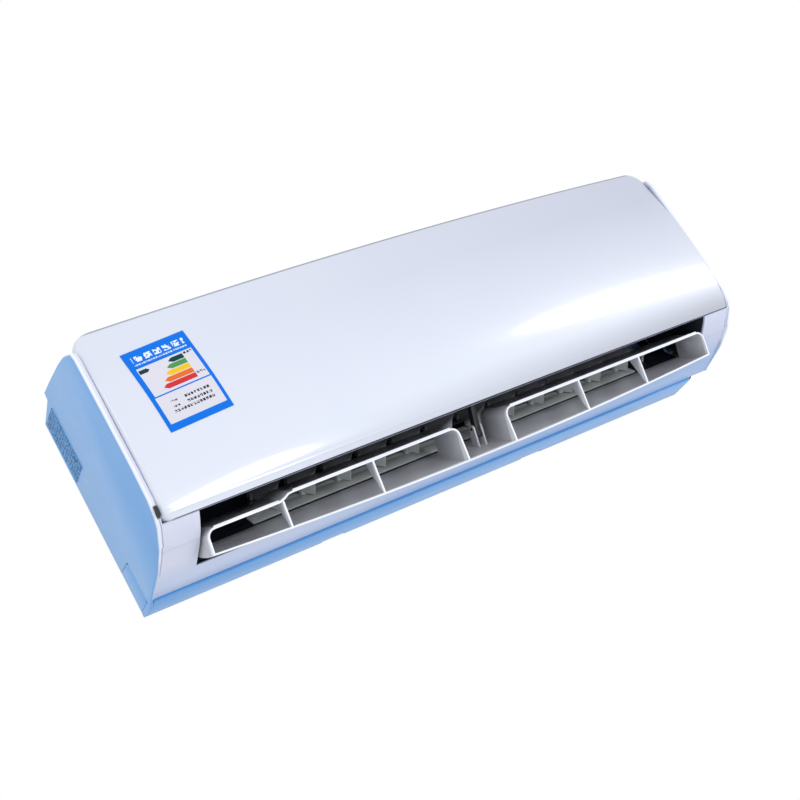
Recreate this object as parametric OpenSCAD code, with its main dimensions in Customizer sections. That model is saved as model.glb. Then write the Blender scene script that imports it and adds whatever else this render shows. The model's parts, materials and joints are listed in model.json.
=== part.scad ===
// Wall-mounted fan coil unit, as separate pieces.
// X runs to the right as seen from the front, Y points into the wall, Z is up.
// Profiles are drawn as (depth, height) points: the wall is at depth 0, the front is negative,
// and height 0 is the underside. hang() then moves the whole unit to its origin,
// the middle of the wall plate's screw pattern.

/* [Casing] */
// Width over the two side faces
body_w = 740; // [700:5:800]
// Height of the panel's top edge above the underside
body_h = 233; // [229:1:245]
// Depth of the casing's side lips
body_d = 138.5; // [137.5:0.5:142]
// Wall thickness of the mouldings
wall = 2.5; // [1.8:0.1:3]
// Width of the rounded front lip on each side
lip_w = 6.2; // [5:0.1:8]
// Height of the pipe exit at the right rear
exit_h = 48; // [46:1:56]
// Width of the pipe exit along the underside
exit_w = 28; // [26:1:34]
// Depth of the flat strip on the underside
strip_d = 37; // [36:0.5:40]

/* [Front panel] */
// How far the panel's top edge bulges forward in the middle
crown = 16; // [8:1:20]
// How far its bottom edge bulges forward in the middle
crown_foot = 3; // [1:0.5:4]
// Gap between the panel and each side lip
panel_gap = 0.8; // [0.5:0.1:1.5]
// Radius of the panel's two top corners
panel_corner = 24; // [16:1:40]
// Depth of the folded side edges of the panel
panel_fold = 8; // [5:0.5:8.5]
// Radius of the panel's hinge pins
panel_pin_r = 2.5; // [1.5:0.1:3]
// How far the panel's hinge axis sits behind the panel's top edge
panel_axis_in = 12.6; // [11.6:0.1:14.6]
// Drop of the panel's hinge axis below the panel's top edge
panel_axis_drop = 19; // [18:0.5:22]

/* [Air outlet] */
// Width of the casing beside each end of the air outlet
end_w = 43; // [30:1:50]
// Depth of the louver's axis from the wall
flap_d = 80; // [79:0.5:81]
// Height of the louver's axis
flap_z = 28; // [27:0.5:29]
// Slope of the open louver blades
flap_slope = 27.6; // [24:0.2:30]
// Gap between each end of the louver and the outlet
flap_gap = 3; // [2.5:0.1:6]
// Thickness of the blades and ribs
blade = 1.8; // [1.4:0.1:2.4]
// Height of the upper blade above the louver's axis
upper_n = 14.2; // [12:0.1:14.4]
// Depth of the lower blade below the louver's axis
lower_n = 12.9; // [12:0.1:14]
// How far the lower blade's front edge bows forward in the middle
flap_bow = 4; // [0:0.5:5]
// How much lower the middle of the lower blade's front edge hangs than its ends
flap_crown = 8; // [0:0.5:9]
// Radius of the louver's end pins
flap_pin_r = 3; // [2:0.1:3.5]

/* [Swing vanes] */
// Number of vanes
vane_count = 12; // [12:2:12]
// Width of the outlet that the row of vanes leaves free
vane_free = 138; // [126:2:150]
// Thickness of a vane
vane_t = 1.6; // [1.2:0.1:2.2]
// How far the vanes are turned to the right
vane_turn = 30; // [20:1:35]
// Radius of a vane's pivot pin
vane_pin_r = 2; // [1.5:0.1:2.4]
// Distance from the pivot to the tie rod's pin
link_arm = 15; // [14:0.5:16]
// Radius of the tie rod's pins
link_pin_r = 1.3; // [1:0.1:1.6]

/* [Fan] */
// Outer diameter of the cross-flow rotor
rotor_dia = 80; // [72:1:81]
// Number of blades round the rotor
rotor_blades = 24; // [18:1:30]
// Depth of the fan's axis from the wall
fan_d = 61; // [60:0.5:62]
// Height of the fan's axis
fan_z = 118; // [117:0.5:119]
// Radius of the motor shaft
shaft_r = 4; // [3:0.1:5]
// Outer diameter of the motor
motor_dia = 48; // [40:1:50]
// Length of the motor's can
motor_l = 44; // [34:1:48]

/* [Heat exchanger] */
// Thickness of the fin packs
coil_t = 18; // [17.6:0.1:19]
// Distance from the left side face to the fin packs
coil_left = 30; // [28:1:40]
// Width of the room for motor and controls at the right end
machine_w = 92; // [90:1:100]
// Outer radius of the coil tubes
tube_r = 3.5; // [3:0.1:3.6]
// Distance from tube to tube along a row
tube_pitch = 20; // [19:0.5:21]
// Distance of each row from the middle of the pack
tube_row = 5.2; // [5.1:0.1:5.4]
// Outer radius of the two water pipes
water_r = 5; // [4:0.1:5.1]
// Outer radius of the drain hose
drain_r = 7; // [6:0.1:7.5]

/* [Filters and controls] */
// Thickness of a filter
filter_t = 1.5; // [1:0.1:2]
// Height of a filter
filter_h = 122; // [110:1:123]
// Width of the control box
box_w = 58; // [50:1:60]
// Height of the control box
box_h = 78; // [70:1:79]
// Radius of the button on the control box
button_r = 3.5; // [2.5:0.1:4.5]

/* [Wall plate] */
// Thickness of the steel plate
plate_t = 1.2; // [1:0.1:1.6]
// Width of the plate
plate_w = 580; // [520:5:600]
// Height of the plate's lower edge
plate_z0 = 70; // [62:1:74]
// Height of the plate's upper edge
plate_z1 = 190; // [184:1:192]
// Height of the middle of the screw pattern
plate_mid = 125; // [122:1:128]
// Distance between the screw columns
screw_x = 450; // [400:5:470]
// Distance between the screw rows
screw_z = 90; // [80:1:96]
// Radius of a screw hole
screw_r = 2.75; // [2:0.05:3.2]

/* [Hidden] */
$fn = 48;
half_w = body_w / 2;
half_out = half_w - end_w;
flap_w = 2 * (half_out - flap_gap);
vane_pitch = (2 * half_out - vane_free) / vane_count;
coil_x0 = -half_w + coil_left;
coil_x1 = half_w - machine_w;
run = 0.05;          // running clearance of pins in bores, on the radius
gap = 0.3;           // gap between mouldings that sit side by side
half_panel = half_w - lip_w - panel_gap;
flap = [-flap_d, flap_z];
fan = [-fan_d, fan_z];
rotor_r = rotor_dia / 2;
motor_r = motor_dia / 2;
panel_top_y = -128.6; // depth of the panel's top corners
panel_axis = [panel_top_y + panel_axis_in, body_h - panel_axis_drop];
filter_bars = [coil_x0 - 3, (coil_x0 + coil_x1) / 2 + 1, coil_x1 + 5];
vane_tilt = 50;      // slope of the air floor under the vanes
seat = 1.5;          // thickness of the vane base strip
floor_r = 25;        // hollow of the air floor round the louver
vane_names = [for (i = [1:vane_count]) str("vane_", i < 10 ? "0" : "", i)];

// Plane geometry helpers
function unit2(v) = v / norm(v);
function left_of(v) = [-v[1], v[0]];
function path_normal(path, i) = unit2(
    (i > 0 ? unit2(left_of(path[i] - path[i - 1])) : [0, 0])
    + (i < len(path) - 1 ? unit2(left_of(path[i + 1] - path[i])) : [0, 0]));
function beside(path, d) = [for (i = [0:len(path) - 1]) path[i] + d * path_normal(path, i)];
function reversed(list) = [for (i = [len(list) - 1:-1:0]) list[i]];
function arc(c, r, a0, a1, n) = [for (i = [0:n]) c + r * [cos(a0 + (a1 - a0) * i / n),
    sin(a0 + (a1 - a0) * i / n)]];
function mix(a, b, t) = a + (b - a) * t;
// A smooth curve through points, with k steps between neighbours
function spline_at(p, i, t) =
    let (a = p[max(i - 1, 0)], b = p[i], c = p[i + 1], d = p[min(i + 2, len(p) - 1)])
    0.5 * (2 * b + (c - a) * t + (2 * a - 5 * b + 4 * c - d) * t * t + (3 * b - a - 3 * c + d) * t * t * t);
function smooth_path(p, k) = concat(
    [for (i = [0:len(p) - 2]) for (j = [0:k - 1]) spline_at(p, i, j / k)], [p[len(p) - 1]]);

// A strip of constant thickness on the left side of a path
module band(path, thick) {
    polygon(concat(path, reversed(beside(path, thick))));
}
// Extrude a (depth, height) outline along X
module along_x(x0, x1) {
    translate([x0, 0, 0]) rotate([90, 0, 90]) linear_extrude(x1 - x0) children();
}
module rod_x(x0, x1, at, r) {
    translate([x0, at[0], at[1]]) rotate([0, 90, 0]) cylinder(h = x1 - x0, r = r);
}
module block(low, high) {
    translate(low) cube(high - low);
}
// A round tube or rod through points, with slightly swollen ball corners
elbow = 0.3;
module tube_run(points, r) {
    for (i = [0:len(points) - 2]) {
        d = points[i + 1] - points[i];
        turn = [0, acos(d[2] / norm(d)), atan2(d[1], d[0])];
        translate(points[i]) rotate(turn) cylinder(h = norm(d), r = r);
        if (i < len(points) - 2) translate(points[i + 1]) rotate(turn) sphere(r = r + elbow);
    }
}
module both_sides() {
    children();
    mirror([1, 0, 0]) children();
}
// Moves the unit from the underside to its origin
module hang() {
    translate([0, 0, -plate_mid]) children();
}

// Outlines of the casing
top_path = [[-36.4, body_h - 0.3], [-60.7, body_h - 2.4], [-98.3, body_h - 6.8], [-122.6, body_h - 11.4]];
chin_path = [[-127, 35.9], [-119, 30], [-109, 24], [-92, 17], [-64, 9], [-strip_d + 1, 2.2]];
side_front = [[-body_d + 3.5, body_h - 17.5], [-body_d + 0.5, body_h - 26], [-body_d, 150], [-body_d, 90],
    [-body_d + 2, 58], [-body_d + 6.5, 43], [-126, 34], [-109, 22]];
side_outline = concat([[0, 0], [0, body_h - 15.6], [-35, body_h - 7.9]], top_path, side_front,
    [[-78, 10.6], [-42, 3.6], [-30, 0]]);
floor_start = flap + floor_r * [cos(-5), sin(-5)];
scroll = [for (a = [-40:13:25]) fan + mix(58, 46.5, (a + 40) / 65) * [cos(a), sin(a)]];
air_floor = concat(arc(flap, floor_r, -37, -5, 5), [floor_start + 47 * [cos(vane_tilt), sin(vane_tilt)]]);
ceiling_path = [[-127, 39.5], [-107, 56], [-103.5, 63], [-103.5, 90], [-101, 96]];
outlet_cut = [[-140, 36], [-128, 36], [-118, 41], [-64 + 8, 20], [-64, 9], [-64, -5], [-140, -5]];

// The front panel's surface: profile point k at width x, lifted outwards by d
panel_profile = smooth_path([[-128, 37.3], [-135, 50], [-140, 76], [-142, 110], [-141, 150],
    [-135.5, body_h - 40], [-131.5, body_h - 14], [panel_top_y, body_h]], 3);
function crown_at(x, z) = (1 - pow(x / half_w, 2)) * mix(crown_foot, crown, (z - 37.3) / (body_h - 37.3));
function panel_point(x, q) = [x, q[0] - crown_at(x, q[1]), q[1]];

module front_frame() color([0.72, 0.83, 0.95]) {
    difference() {
        union() {
            both_sides() {
                along_x(half_w - wall, half_w) polygon(side_outline);
                along_x(half_w - lip_w, half_w - wall / 2) band(side_front, 4);
                // boss for the panel's hinge pin
                rod_x(half_w - 9, half_w - wall / 2, panel_axis, panel_pin_r + 3.5);
            }
            along_x(-half_w + wall / 2, half_w - wall / 2) band(chin_path, wall);
            along_x(-half_w + wall / 2, half_w - wall / 2) band(concat([[-35.2, body_h - 7.6]],
                top_path), wall);
            // rail behind the panel's foot, over the outlet, set back at both ends for the panel's folds
            along_x(-half_panel + 7, half_panel - 7) polygon([[-126.8, 41.2], [-124.5, 42.4], [-124.5,
                48], [-129.8, 48]]);
            both_sides() {
                along_x(half_panel - 13, half_panel - 7) polygon([[-125, 42.4], [-120.6, 42.4],
                    [-120.6, 50], [-125, 50]]);
                along_x(half_panel - 13, half_w - wall / 2) polygon([[-123.1, 46], [-120.6, 46],
                    [-120.6, 50], [-123.1, 50]]);
            }
            // bars behind the ends of the filters and between them
            for (x = filter_bars) along_x(x - 3, x + 3) polygon([[-129.6, 46], [-126, 46], [-130.4,
                58], [-130.4, 82],
                [-122.6, body_h - 16], [-118, body_h - 12.5], [-121, body_h - 10], [-127.1,
                    body_h - 16], [-132.8, 62]]);
            // ledge that the filters stand on
            along_x(filter_bars[0], filter_bars[2]) translate(filter_foot) polygon([[-0.3, -3.3],
                [3.7, -3.3], [3.7, -0.4], [-0.3, -0.4]]);
        }
        // air outlet
        along_x(-half_out, half_out) polygon(outlet_cut);
        // intake
        block([-half_out - 8, -112, body_h - 30], [half_out + 8, -48, body_h + 5]);
        // pipe exit at the right rear
        block([half_w - exit_w, -strip_d - 1, -1], [half_w + 1, 1, exit_h]);
        // opening under the knock-out cover
        block([-half_w - 1, -26, 5], [-half_w + lip_w, 1, exit_h]);
        // notch for the panel catch, low at the left
        mirror([1, 0, 0]) block([half_w - lip_w - 1, -body_d - 4, 41], [half_w - 3, -129, 52]);
        // slots in the top edge that the panel's arms turn into
        both_sides() block([half_panel - 9, -124, body_h - 14.1], [half_panel + 0.5, -113, body_h]);
        // bores for the panel's hinge pins
        both_sides() rod_x(half_w - 20, half_w - wall + 0.6, panel_axis, panel_pin_r + run);
    }
}

module intake_grille() color([0.9, 0.93, 0.97]) {
    slat_pitch = 8;
    translate([0, -48.4, body_h - 1.9]) rotate([7.2, 0, 0]) {
        difference() {
            block([-half_out - 7.6, -63.4, -3.2], [half_out + 7.6, 0, -0.2]);
            for (k = [-3:2]) block([k * 110 + 4, -60, -5], [k * 110 + 106, -3, 5]);
        }
        for (k = [1:6]) block([-half_out - 5, -k * slat_pitch - 4, -3], [half_out + 5,
            -k * slat_pitch - 2, -0.4]);
    }
}

module rear_chassis() color([0.66, 0.8, 0.94]) {
    inner = half_w - wall - gap;
    difference() {
        union() {
            // back wall, with a foot at the bottom that touches the wall
            block([-inner, -4.5, 2], [inner, -2, body_h - 20]);
            // roof that closes the top behind the grille
            along_x(-inner, inner) band([[-2, body_h - 17.4], [-34.7, body_h - 10.1]], wall);
            block([-inner, -4.5, 0], [inner, 0, 10]);
            block([-inner, -strip_d + 1.3, 0], [inner, -0.5, wall]);
            // air floor and scroll behind the fan
            along_x(-half_out, coil_x1 - 1) band(concat(air_floor, scroll), -wall);
            along_x(coil_x1 - 5, half_out) band(air_floor, -wall);
            // webs between scroll and back wall
            for (x = [-half_out, -100, 100]) along_x(x, x + wall)
                polygon([[-4.4, 2], [-30, 2], [-33, 6], [-50, 10.6], [-54.6, 20], [-43, 38], [-20, 70],
                    [-9.5, 92], [-9, 124], [-4.4, 124]]);
            along_x(half_out - wall, half_out) polygon([[-4.4, 2], [-30, 2], [-33, 6], [-50, 10.6],
                [-54.6, 20], [-43, 38], [-25.4, 59], [-4.4, 59]]);
            // side walls of the fan chamber
            for (x = [-half_out - wall, coil_x1 - wall - 1]) along_x(x, x + wall) polygon(concat(
                [[-97, 92], [-98.4, 97], [-100, 104], [-100, 182], [-40, 144], [-24, 138]],
                    reversed(beside(scroll, -wall)), [[-26, 66], [-60, 84]]));
        }
        // seat of the bearing and way in for the motor's boss
        rod_x(-half_out - 5, -half_out + 2, fan, 13.1);
        rod_x(coil_x1 - 6, coil_x1 + 3, fan, 13);
        // holes for the vane pins and the crank
        for (i = [0:vane_count]) at_vane(i) translate([0, 0, -12]) cylinder(h = 14, r = vane_pin_r + 0.8);
        // pipe exit
        block([half_w - exit_w, -strip_d, -1], [half_w, 1, exit_h]);
        // windows over the plate's hooks, its screws and its two clips
        for (x = [-180, 180]) block([x - 17, -6, plate_z1 - 10], [x + 17, 1, plate_z1 + plate_t + 0.5]);
        for (x = [-1, 1]) for (z = [-1, 1])
            translate([x * screw_x / 2, 1, plate_mid + z * screw_z / 2]) rotate([90, 0, 0])
                cylinder(h = 6, r = screw_r + 4);
        for (x = [-156.5, 110]) block([x - 13.5, -2.6, -1], [x + 13.5, 1, 12]);
    }
}

module knockout_cover() color([0.7, 0.82, 0.95]) {
    difference() {
        block([-half_w, -25.6, 5.4], [-half_w + wall, 0, exit_h - 0.4]);
        for (z = [5.4, exit_h - 0.4]) translate([-half_w - 1, -25.6, z]) rotate([45, 0, 0]) cube([10,
            4, 4], center = true);
    }
    block([-half_w + wall, -22, 8], [-half_w + wall + 1.2, -18, exit_h - 4]);
}

module wall_plate() color([0.75, 0.76, 0.78]) {
    difference() {
        union() {
            block([-plate_w / 2, -plate_t, plate_z0], [plate_w / 2, 0, plate_z1]);
            // hooks that carry the chassis
            for (x = [-180, 180]) {
                block([x - 14, -5.4 - plate_t, plate_z1 - 1], [x + 14, 0, plate_z1 + plate_t]);
                block([x - 14, -5.4 - plate_t, plate_z1], [x + 14, -5.4, plate_z1 + 12]);
            }
            // clips down to the rear edge
            for (x = [-156.5, 110]) block([x - 11, -plate_t, 4], [x + 11, 0, plate_z0 + 1]);
        }
        for (x = [-1, 1]) for (z = [-1, 1])
            translate([x * screw_x / 2, 1, plate_mid + z * screw_z / 2]) rotate([90, 0, 0])
                cylinder(h = 5, r = screw_r);
        // weight-saving windows
        for (x = [-150, -70, 70, 150]) block([x - 30, -3, plate_mid - 22], [x + 30, 1, plate_mid + 22]);
    }
}

// A closed sheet between two faces of the panel, from outside offset d_out to inside offset d_in
module panel_sheet(xs, profile, d_out, d_in) {
    outer = beside(profile, d_out);
    inner = beside(profile, d_in);
    closed_sheet([for (x = xs) for (q = outer) panel_point(x, q)], [for (x = xs) for (q = inner)
        panel_point(x, q)], len(xs), len(profile));
}
// The solid between two faces, each given as m rows of n points
module closed_sheet(outer_points, inner_points, m, n) {
    points = concat(outer_points, inner_points);
    skin = [for (i = [0:m - 2]) for (j = [0:n - 2])
        let (a = i * n + j) each [[a, a + 1, a + n], [a + 1, a + n + 1, a + n]]];
    back = [for (f = skin) [f[0] + m * n, f[2] + m * n, f[1] + m * n]];
    foot_edge = [for (i = [0:m - 2]) let (a = i * n, b = a + m * n) each [[a, a + n, b], [a + n, b + n,
        b]]];
    top_edge = [for (i = [0:m - 2]) let (a = i * n + n - 1, b = a + m * n) each [[a, b, a + n], [a + n,
        b, b + n]]];
    left_edge = [for (j = [0:n - 2]) let (a = j, b = a + m * n) each [[a, b, a + 1], [a + 1, b, b + 1]]];
    right_edge = [for (j = [0:n - 2]) let (a = (m - 1) * n + j, b = a + m * n) each [[a, a + 1, b],
        [a + 1, b + 1, b]]];
    polyhedron(points, concat(skin, back, foot_edge, top_edge, left_edge, right_edge), convexity = 6);
}

module front_panel() color([0.93, 0.94, 0.98]) {
    steps = 20;
    xs = [for (i = [0:steps]) -half_panel + 2 * half_panel * i / steps];
    roof_n = 20;
    intersection() {
        union() {
            panel_sheet(xs, panel_profile, 0, -wall);
            // folded side edges
            both_sides() along_x(half_panel - wall, half_panel) band(beside(panel_profile, -0.6),
                -panel_fold);
            // roof flange behind the crowned top edge
            translate([0, 0, body_h - wall]) linear_extrude(wall) polygon(concat(
                [for (i = [0:roof_n]) let (x = mix(-half_panel, half_panel, i / roof_n))
                    [x, panel_top_y - crown_at(x, body_h) + 1.2]],
                [[half_panel, -122], [-half_panel, -122]]));
        }
        // round top corners
        rotate([90, 0, 0]) translate([0, 0, 100]) linear_extrude(100) union() {
            translate([-half_panel, 0]) square([2 * half_panel, body_h - panel_corner]);
            translate([-half_panel + panel_corner, 0]) square([2 * (half_panel - panel_corner), body_h]);
            for (s = [-1, 1]) translate([s * (half_panel - panel_corner), body_h - panel_corner])
                circle(r = panel_corner);
        }
    }
}

module panel_hinge_arms() color([0.86, 0.87, 0.9]) both_sides() {
    x1 = half_panel - wall - 0.1;
    along_x(x1 - 5, x1) difference() {
        union() {
            polygon([[-129.3, body_h - 40], [-126.6, body_h - 15], panel_axis + [0, 4],
                panel_axis + [2, -4]]);
            translate(panel_axis) circle(r = 4.6);
        }
    }
    rod_x(x1 - 1, half_w - wall - 0.4, panel_axis, panel_pin_r);
}

module panel_catch() color([0.06, 0.06, 0.07]) {
    block([-half_w + 3.3, -body_d + 1.5, 42], [-half_w + lip_w - 0.2, -130, 51.6]);
    rod_x(-half_w + lip_w - 0.3, -half_w + lip_w + 0.3, [-body_d + 4, 46.8], 1.4);
}

label_w = 66.8;
label_h = 90;
label_mid = [77.4 - half_w, 155.1];
label_turn = 4;      // the sticker sits a little askew
module panel_label() color([0.1, 0.47, 0.92]) {
    columns = 4;
    rows = 20;
    depth_table = [for (q = panel_profile) [q[1], q[0]]];
    across = [cos(label_turn), sin(label_turn)];
    up = [-sin(label_turn), cos(label_turn)];
    spots = [for (i = [0:columns]) for (k = [0:rows]) label_mid + across * label_w * (i / columns - 0.5)
        + up * label_h * (k / rows - 0.5)];
    closed_sheet([for (q = spots) panel_point(q[0], [lookup(q[1], depth_table) - 0.4, q[1]])],
        [for (q = spots) panel_point(q[0], [lookup(q[1], depth_table) - 0.12, q[1]])],
        columns + 1, rows + 1);
}

module rating_plate() color([0.42, 0.6, 0.78]) {
    block([-half_w - 0.3, -35, 148], [-half_w, -3, body_h - 17]);
}

// Filters stand in front of the coil, leaning back a little
filter_foot = [-133.9, 79.8];
filter_lean = 2.1;
module air_filter(x0, x1) color([0.6, 0.66, 0.72]) {
    bars = round((x1 - x0) / 22);
    translate([0, filter_foot[0], filter_foot[1]]) rotate([-filter_lean, 0, 0]) {
        difference() {
            block([x0, 0, 0], [x1, filter_t, filter_h]);
            block([x0 + 5, -1, 5], [x1 - 5, 5, filter_h - 5]);
        }
        for (k = [1:bars - 1]) block([mix(x0, x1, k / bars) - 0.6, 0.3, 4], [mix(x0, x1, k / bars)
            + 0.6, filter_t - 0.3, filter_h - 4]);
        for (k = [1:6]) block([x0 + 4, 0.3, filter_h * k / 7 - 0.6], [x1 - 4, filter_t - 0.3,
            filter_h * k / 7 + 0.6]);
    }
}

// The two fin packs: start and end of each pack's middle line, and its number of tubes per row
front_pack = [[-118.6, 73], [-108, body_h - 39]];
rear_pack = [[-94, body_h - 30], [-26, body_h - 75]];
function pack_dir(p) = unit2(p[1] - p[0]);
function tube_at(p, row, k) = p[0] + pack_dir(p) * (10 + tube_pitch * k) + left_of(pack_dir(p))
    * tube_row * row;
front_rows = floor((norm(front_pack[1] - front_pack[0]) - 20) / tube_pitch) + 1;
rear_rows = floor((norm(rear_pack[1] - rear_pack[0]) - 20) / tube_pitch) + 1;
front_tubes = [for (row = [-1, 1]) for (k = [0:front_rows - 1]) tube_at(front_pack, row, k)];
rear_tubes = [for (row = [-1, 1]) for (k = [0:rear_rows - 1]) tube_at(rear_pack, row, k)];
module fin_pack(p, tubes, x0, x1) {
    difference() {
        along_x(x0, x1) band(beside(p, -coil_t / 2), coil_t);
        for (t = tubes) rod_x(x0 - 1, x1 + 1, t, tube_r + run);
    }
}
module coil_fins_front() color([0.78, 0.8, 0.82]) fin_pack(front_pack, front_tubes, coil_x0, coil_x1);
module coil_fins_rear() color([0.78, 0.8, 0.82]) fin_pack(rear_pack, rear_tubes, coil_x0, coil_x1);
module tube_sheets() color([0.62, 0.64, 0.66]) {
    for (x = [coil_x0 - 1.5, coil_x1]) {
        fin_pack(front_pack, front_tubes, x, x + 1.5);
        fin_pack(rear_pack, rear_tubes, x, x + 1.5);
    }
}
tube_x0 = coil_x0 - 5;
tube_x1 = coil_x1 + 5;
module coil_tubes() color([0.78, 0.46, 0.28]) {
    for (t = concat(front_tubes, rear_tubes)) rod_x(tube_x0, tube_x1, t, tube_r);
}
module u_bend(x, p, q, side) {
    d = q - p;
    translate([x, (p[0] + q[0]) / 2, (p[1] + q[1]) / 2]) rotate([atan2(d[1], d[0]), 0, 0]) rotate([0,
        0, side < 0 ? 90 : -90])
        rotate_extrude(angle = 180) translate([norm(d) / 2, 0]) circle(r = tube_r, $fn = 24);
}
module return_bends() color([0.8, 0.48, 0.3]) {
    // bends along each row: from even tubes on the left, from odd tubes on the right
    for (row = [-1, 1]) {
        for (k = [0:2:front_rows - 2]) u_bend(tube_x0, tube_at(front_pack, row, k), tube_at(front_pack,
            row, k + 1), -1);
        for (k = [1:2:front_rows - 2]) u_bend(tube_x1, tube_at(front_pack, row, k), tube_at(front_pack,
            row, k + 1), 1);
        for (k = [0:2:rear_rows - 2]) u_bend(tube_x0, tube_at(rear_pack, row, k), tube_at(rear_pack,
            row, k + 1), -1);
        for (k = [1:2:rear_rows - 2]) u_bend(tube_x1, tube_at(rear_pack, row, k), tube_at(rear_pack,
            row, k + 1), 1);
    }
    // across the rows at the foot, and from pack to pack at the top
    u_bend(tube_x1, tube_at(front_pack, -1, 0), tube_at(front_pack, 1, 0), 1);
    u_bend(tube_x1, tube_at(front_pack, -1, front_rows - 1), tube_at(rear_pack, -1, 0), 1);
    u_bend(tube_x1, tube_at(front_pack, 1, front_rows - 1), tube_at(rear_pack, 1, 0), 1);
}

supply_end = [-12, 12];
return_end = [-28, 14];
stub_l = 17;         // length of each pipe's stub outside its nut
stub_step = 0.4;     // how much thinner the stub is, on the radius
riser_x = half_w - 36;
exit_x = half_w - 4;
function at3(x, p) = [x, p[0], p[1]];
supply_tube = tube_at(rear_pack, 1, rear_rows - 1);
return_tube = tube_at(rear_pack, -1, rear_rows - 1);
supply_route = [at3(tube_x1, supply_tube), at3(tube_x1 + 10, supply_tube), [riser_x, supply_end[0], 150],
    at3(riser_x, supply_end), at3(exit_x - stub_l, supply_end)];
return_route = [at3(tube_x1, return_tube), at3(tube_x1 + 18, return_tube), [riser_x, return_end[0], 138],
    at3(riser_x, return_end), at3(exit_x - stub_l, return_end)];
module water_pipe(route, end) {
    tube_run(route, water_r);
    rod_x(exit_x - stub_l - 1, exit_x, end, water_r - stub_step);
}
module supply_pipe() color([0.8, 0.47, 0.28]) water_pipe(supply_route, supply_end);
module return_pipe() color([0.8, 0.47, 0.28]) water_pipe(return_route, return_end);
module pipe_nuts() color([0.8, 0.66, 0.32]) {
    for (p = [supply_end, return_end]) translate([half_w - exit_w - 1, p[0], p[1]]) rotate([0, 90, 0])
        difference() {
        cylinder(h = 7, r = water_r + 2.9, $fn = 6);
        translate([0, 0, -1]) cylinder(h = 9, r = water_r + run);
    }
}

pan_x1 = half_w - 12;
drain_x = half_w - 20;
module outlet_duct() color([0.86, 0.88, 0.9]) {
    difference() {
        union() {
            along_x(-half_out, half_out) band(ceiling_path, -2);
            // drain pan in front of the duct
            along_x(coil_x0 - 7, pan_x1) polygon([[-130.1, 77.5], [-130.1, 61.2], [-102.5, 61.2],
                [-102.5, 66], [-105.4, 66],
                [-105.4, 63.2], [-128.3, 63.2], [-128.3, 77.5]]);
            for (x = [coil_x0 - 8, pan_x1 - 1]) block([x, -130.1, 61.2], [x + 2, -103.6, 77.5]);
            // side walls of the duct
            both_sides() along_x(half_out + gap, half_out + gap + wall) polygon([[-124.5, 39.4], [-107,
                56], [-103.6, 63],
                [-103.6, 89], [-60, 74], [-36, 58], [-52, 39.5], [-57, 17], [-66, 13], [-92, 20.8],
                    [-108, 27.8]]);
            translate([drain_x, drain_y, 54]) cylinder(h = 8, r = drain_r - 1.6);
        }
        translate([drain_x, drain_y, 50]) cylinder(h = 20, r = drain_r - 3);
        rod_x(half_out - 1, half_out + 5, flap, 6.2);
        rod_x(-half_out - 5, -half_out + 1, flap, 6.1);
    }
}

drain_end = [-24, 34];
drain_stub = 8.8;    // length of the hose's thinner end
drain_y = -110;
drain_top = [drain_x, drain_y, 60.8];
drain_bends = [[drain_x, drain_y, 50], at3(drain_x, drain_end)];
module drain_hose() color([0.85, 0.86, 0.88]) difference() {
    union() {
        tube_run(concat([drain_top], drain_bends, [at3(exit_x - drain_stub, drain_end)]), drain_r);
        rod_x(exit_x - drain_stub - 1, exit_x, drain_end, drain_r - stub_step);
    }
    // mouths at both ends
    translate(drain_top + [0, 0, -8]) cylinder(h = 10, r = drain_r - 1.5);
    rod_x(exit_x - drain_stub, exit_x + 1, drain_end, drain_r - 1.5 - stub_step);
}

rotor_x0 = -half_out + 8;
rotor_x1 = coil_x1 - 14;
module fan_rotor() color([0.2, 0.21, 0.23]) {
    blade_arc = [for (i = [0:3]) [rotor_r - 0.4 - i * 2.9, 1.6 * sin(60 * i)]];
    for (k = [0:rotor_blades - 1]) rotate_about_fan(k * 360 / rotor_blades) along_x(rotor_x0, rotor_x1)
        band(blade_arc, 1.1);
    difference() {
        union() {
            for (k = [0:5]) rod_x(mix(rotor_x0, rotor_x1 - 2, k / 5), mix(rotor_x0, rotor_x1 - 2,
                k / 5) + 2, fan, rotor_r);
            rod_x(rotor_x1 - 24, rotor_x1, fan, 11);
        }
        for (k = [1:4]) rod_x(mix(rotor_x0, rotor_x1 - 2, k / 5) - 1, mix(rotor_x0, rotor_x1 - 2,
            k / 5) + 3, fan, rotor_r - 10);
        rod_x(rotor_x1 - 20, rotor_x1 + 1, fan, shaft_r + 0.02);
    }
    rod_x(-half_out - 6, rotor_x0 + 0.5, fan, 3);
}
module rotate_about_fan(a) {
    translate([0, fan[0], fan[1]]) rotate([a, 0, 0]) children();
}
motor_x0 = coil_x1 + 8;
module fan_shaft() color([0.7, 0.71, 0.73]) rod_x(rotor_x1 - 19.5, motor_x0 + 18, fan, shaft_r);
module fan_bearing() color([0.72, 0.6, 0.36]) difference() {
    rod_x(-half_out - 6.5, -half_out - 0.5, fan, 8);
    rod_x(-half_out - 8, -half_out + 1, fan, 3 + run);
}
module bearing_seat() color([0.08, 0.08, 0.09]) difference() {
    rod_x(-half_out - 5.5, -half_out - 0.3, fan, 13);
    rod_x(-half_out - 8, -half_out + 1, fan, 8.02);
}
module fan_motor() color([0.66, 0.68, 0.7]) difference() {
    union() {
        rod_x(motor_x0, motor_x0 + motor_l, fan, motor_r);
        rod_x(motor_x0 - 6, motor_x0 + motor_l + 6, fan, 10);
    }
    rod_x(motor_x0 - 7, motor_x0 + 19, fan, shaft_r + run);
}
module motor_rings() color([0.1, 0.1, 0.11]) for (x = [motor_x0 + 6, motor_x0 + motor_l - 12])
    difference() {
    rod_x(x, x + 6, fan, motor_r + 2);
    rod_x(x - 1, x + 7, fan, motor_r + 0.03);
}
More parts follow.
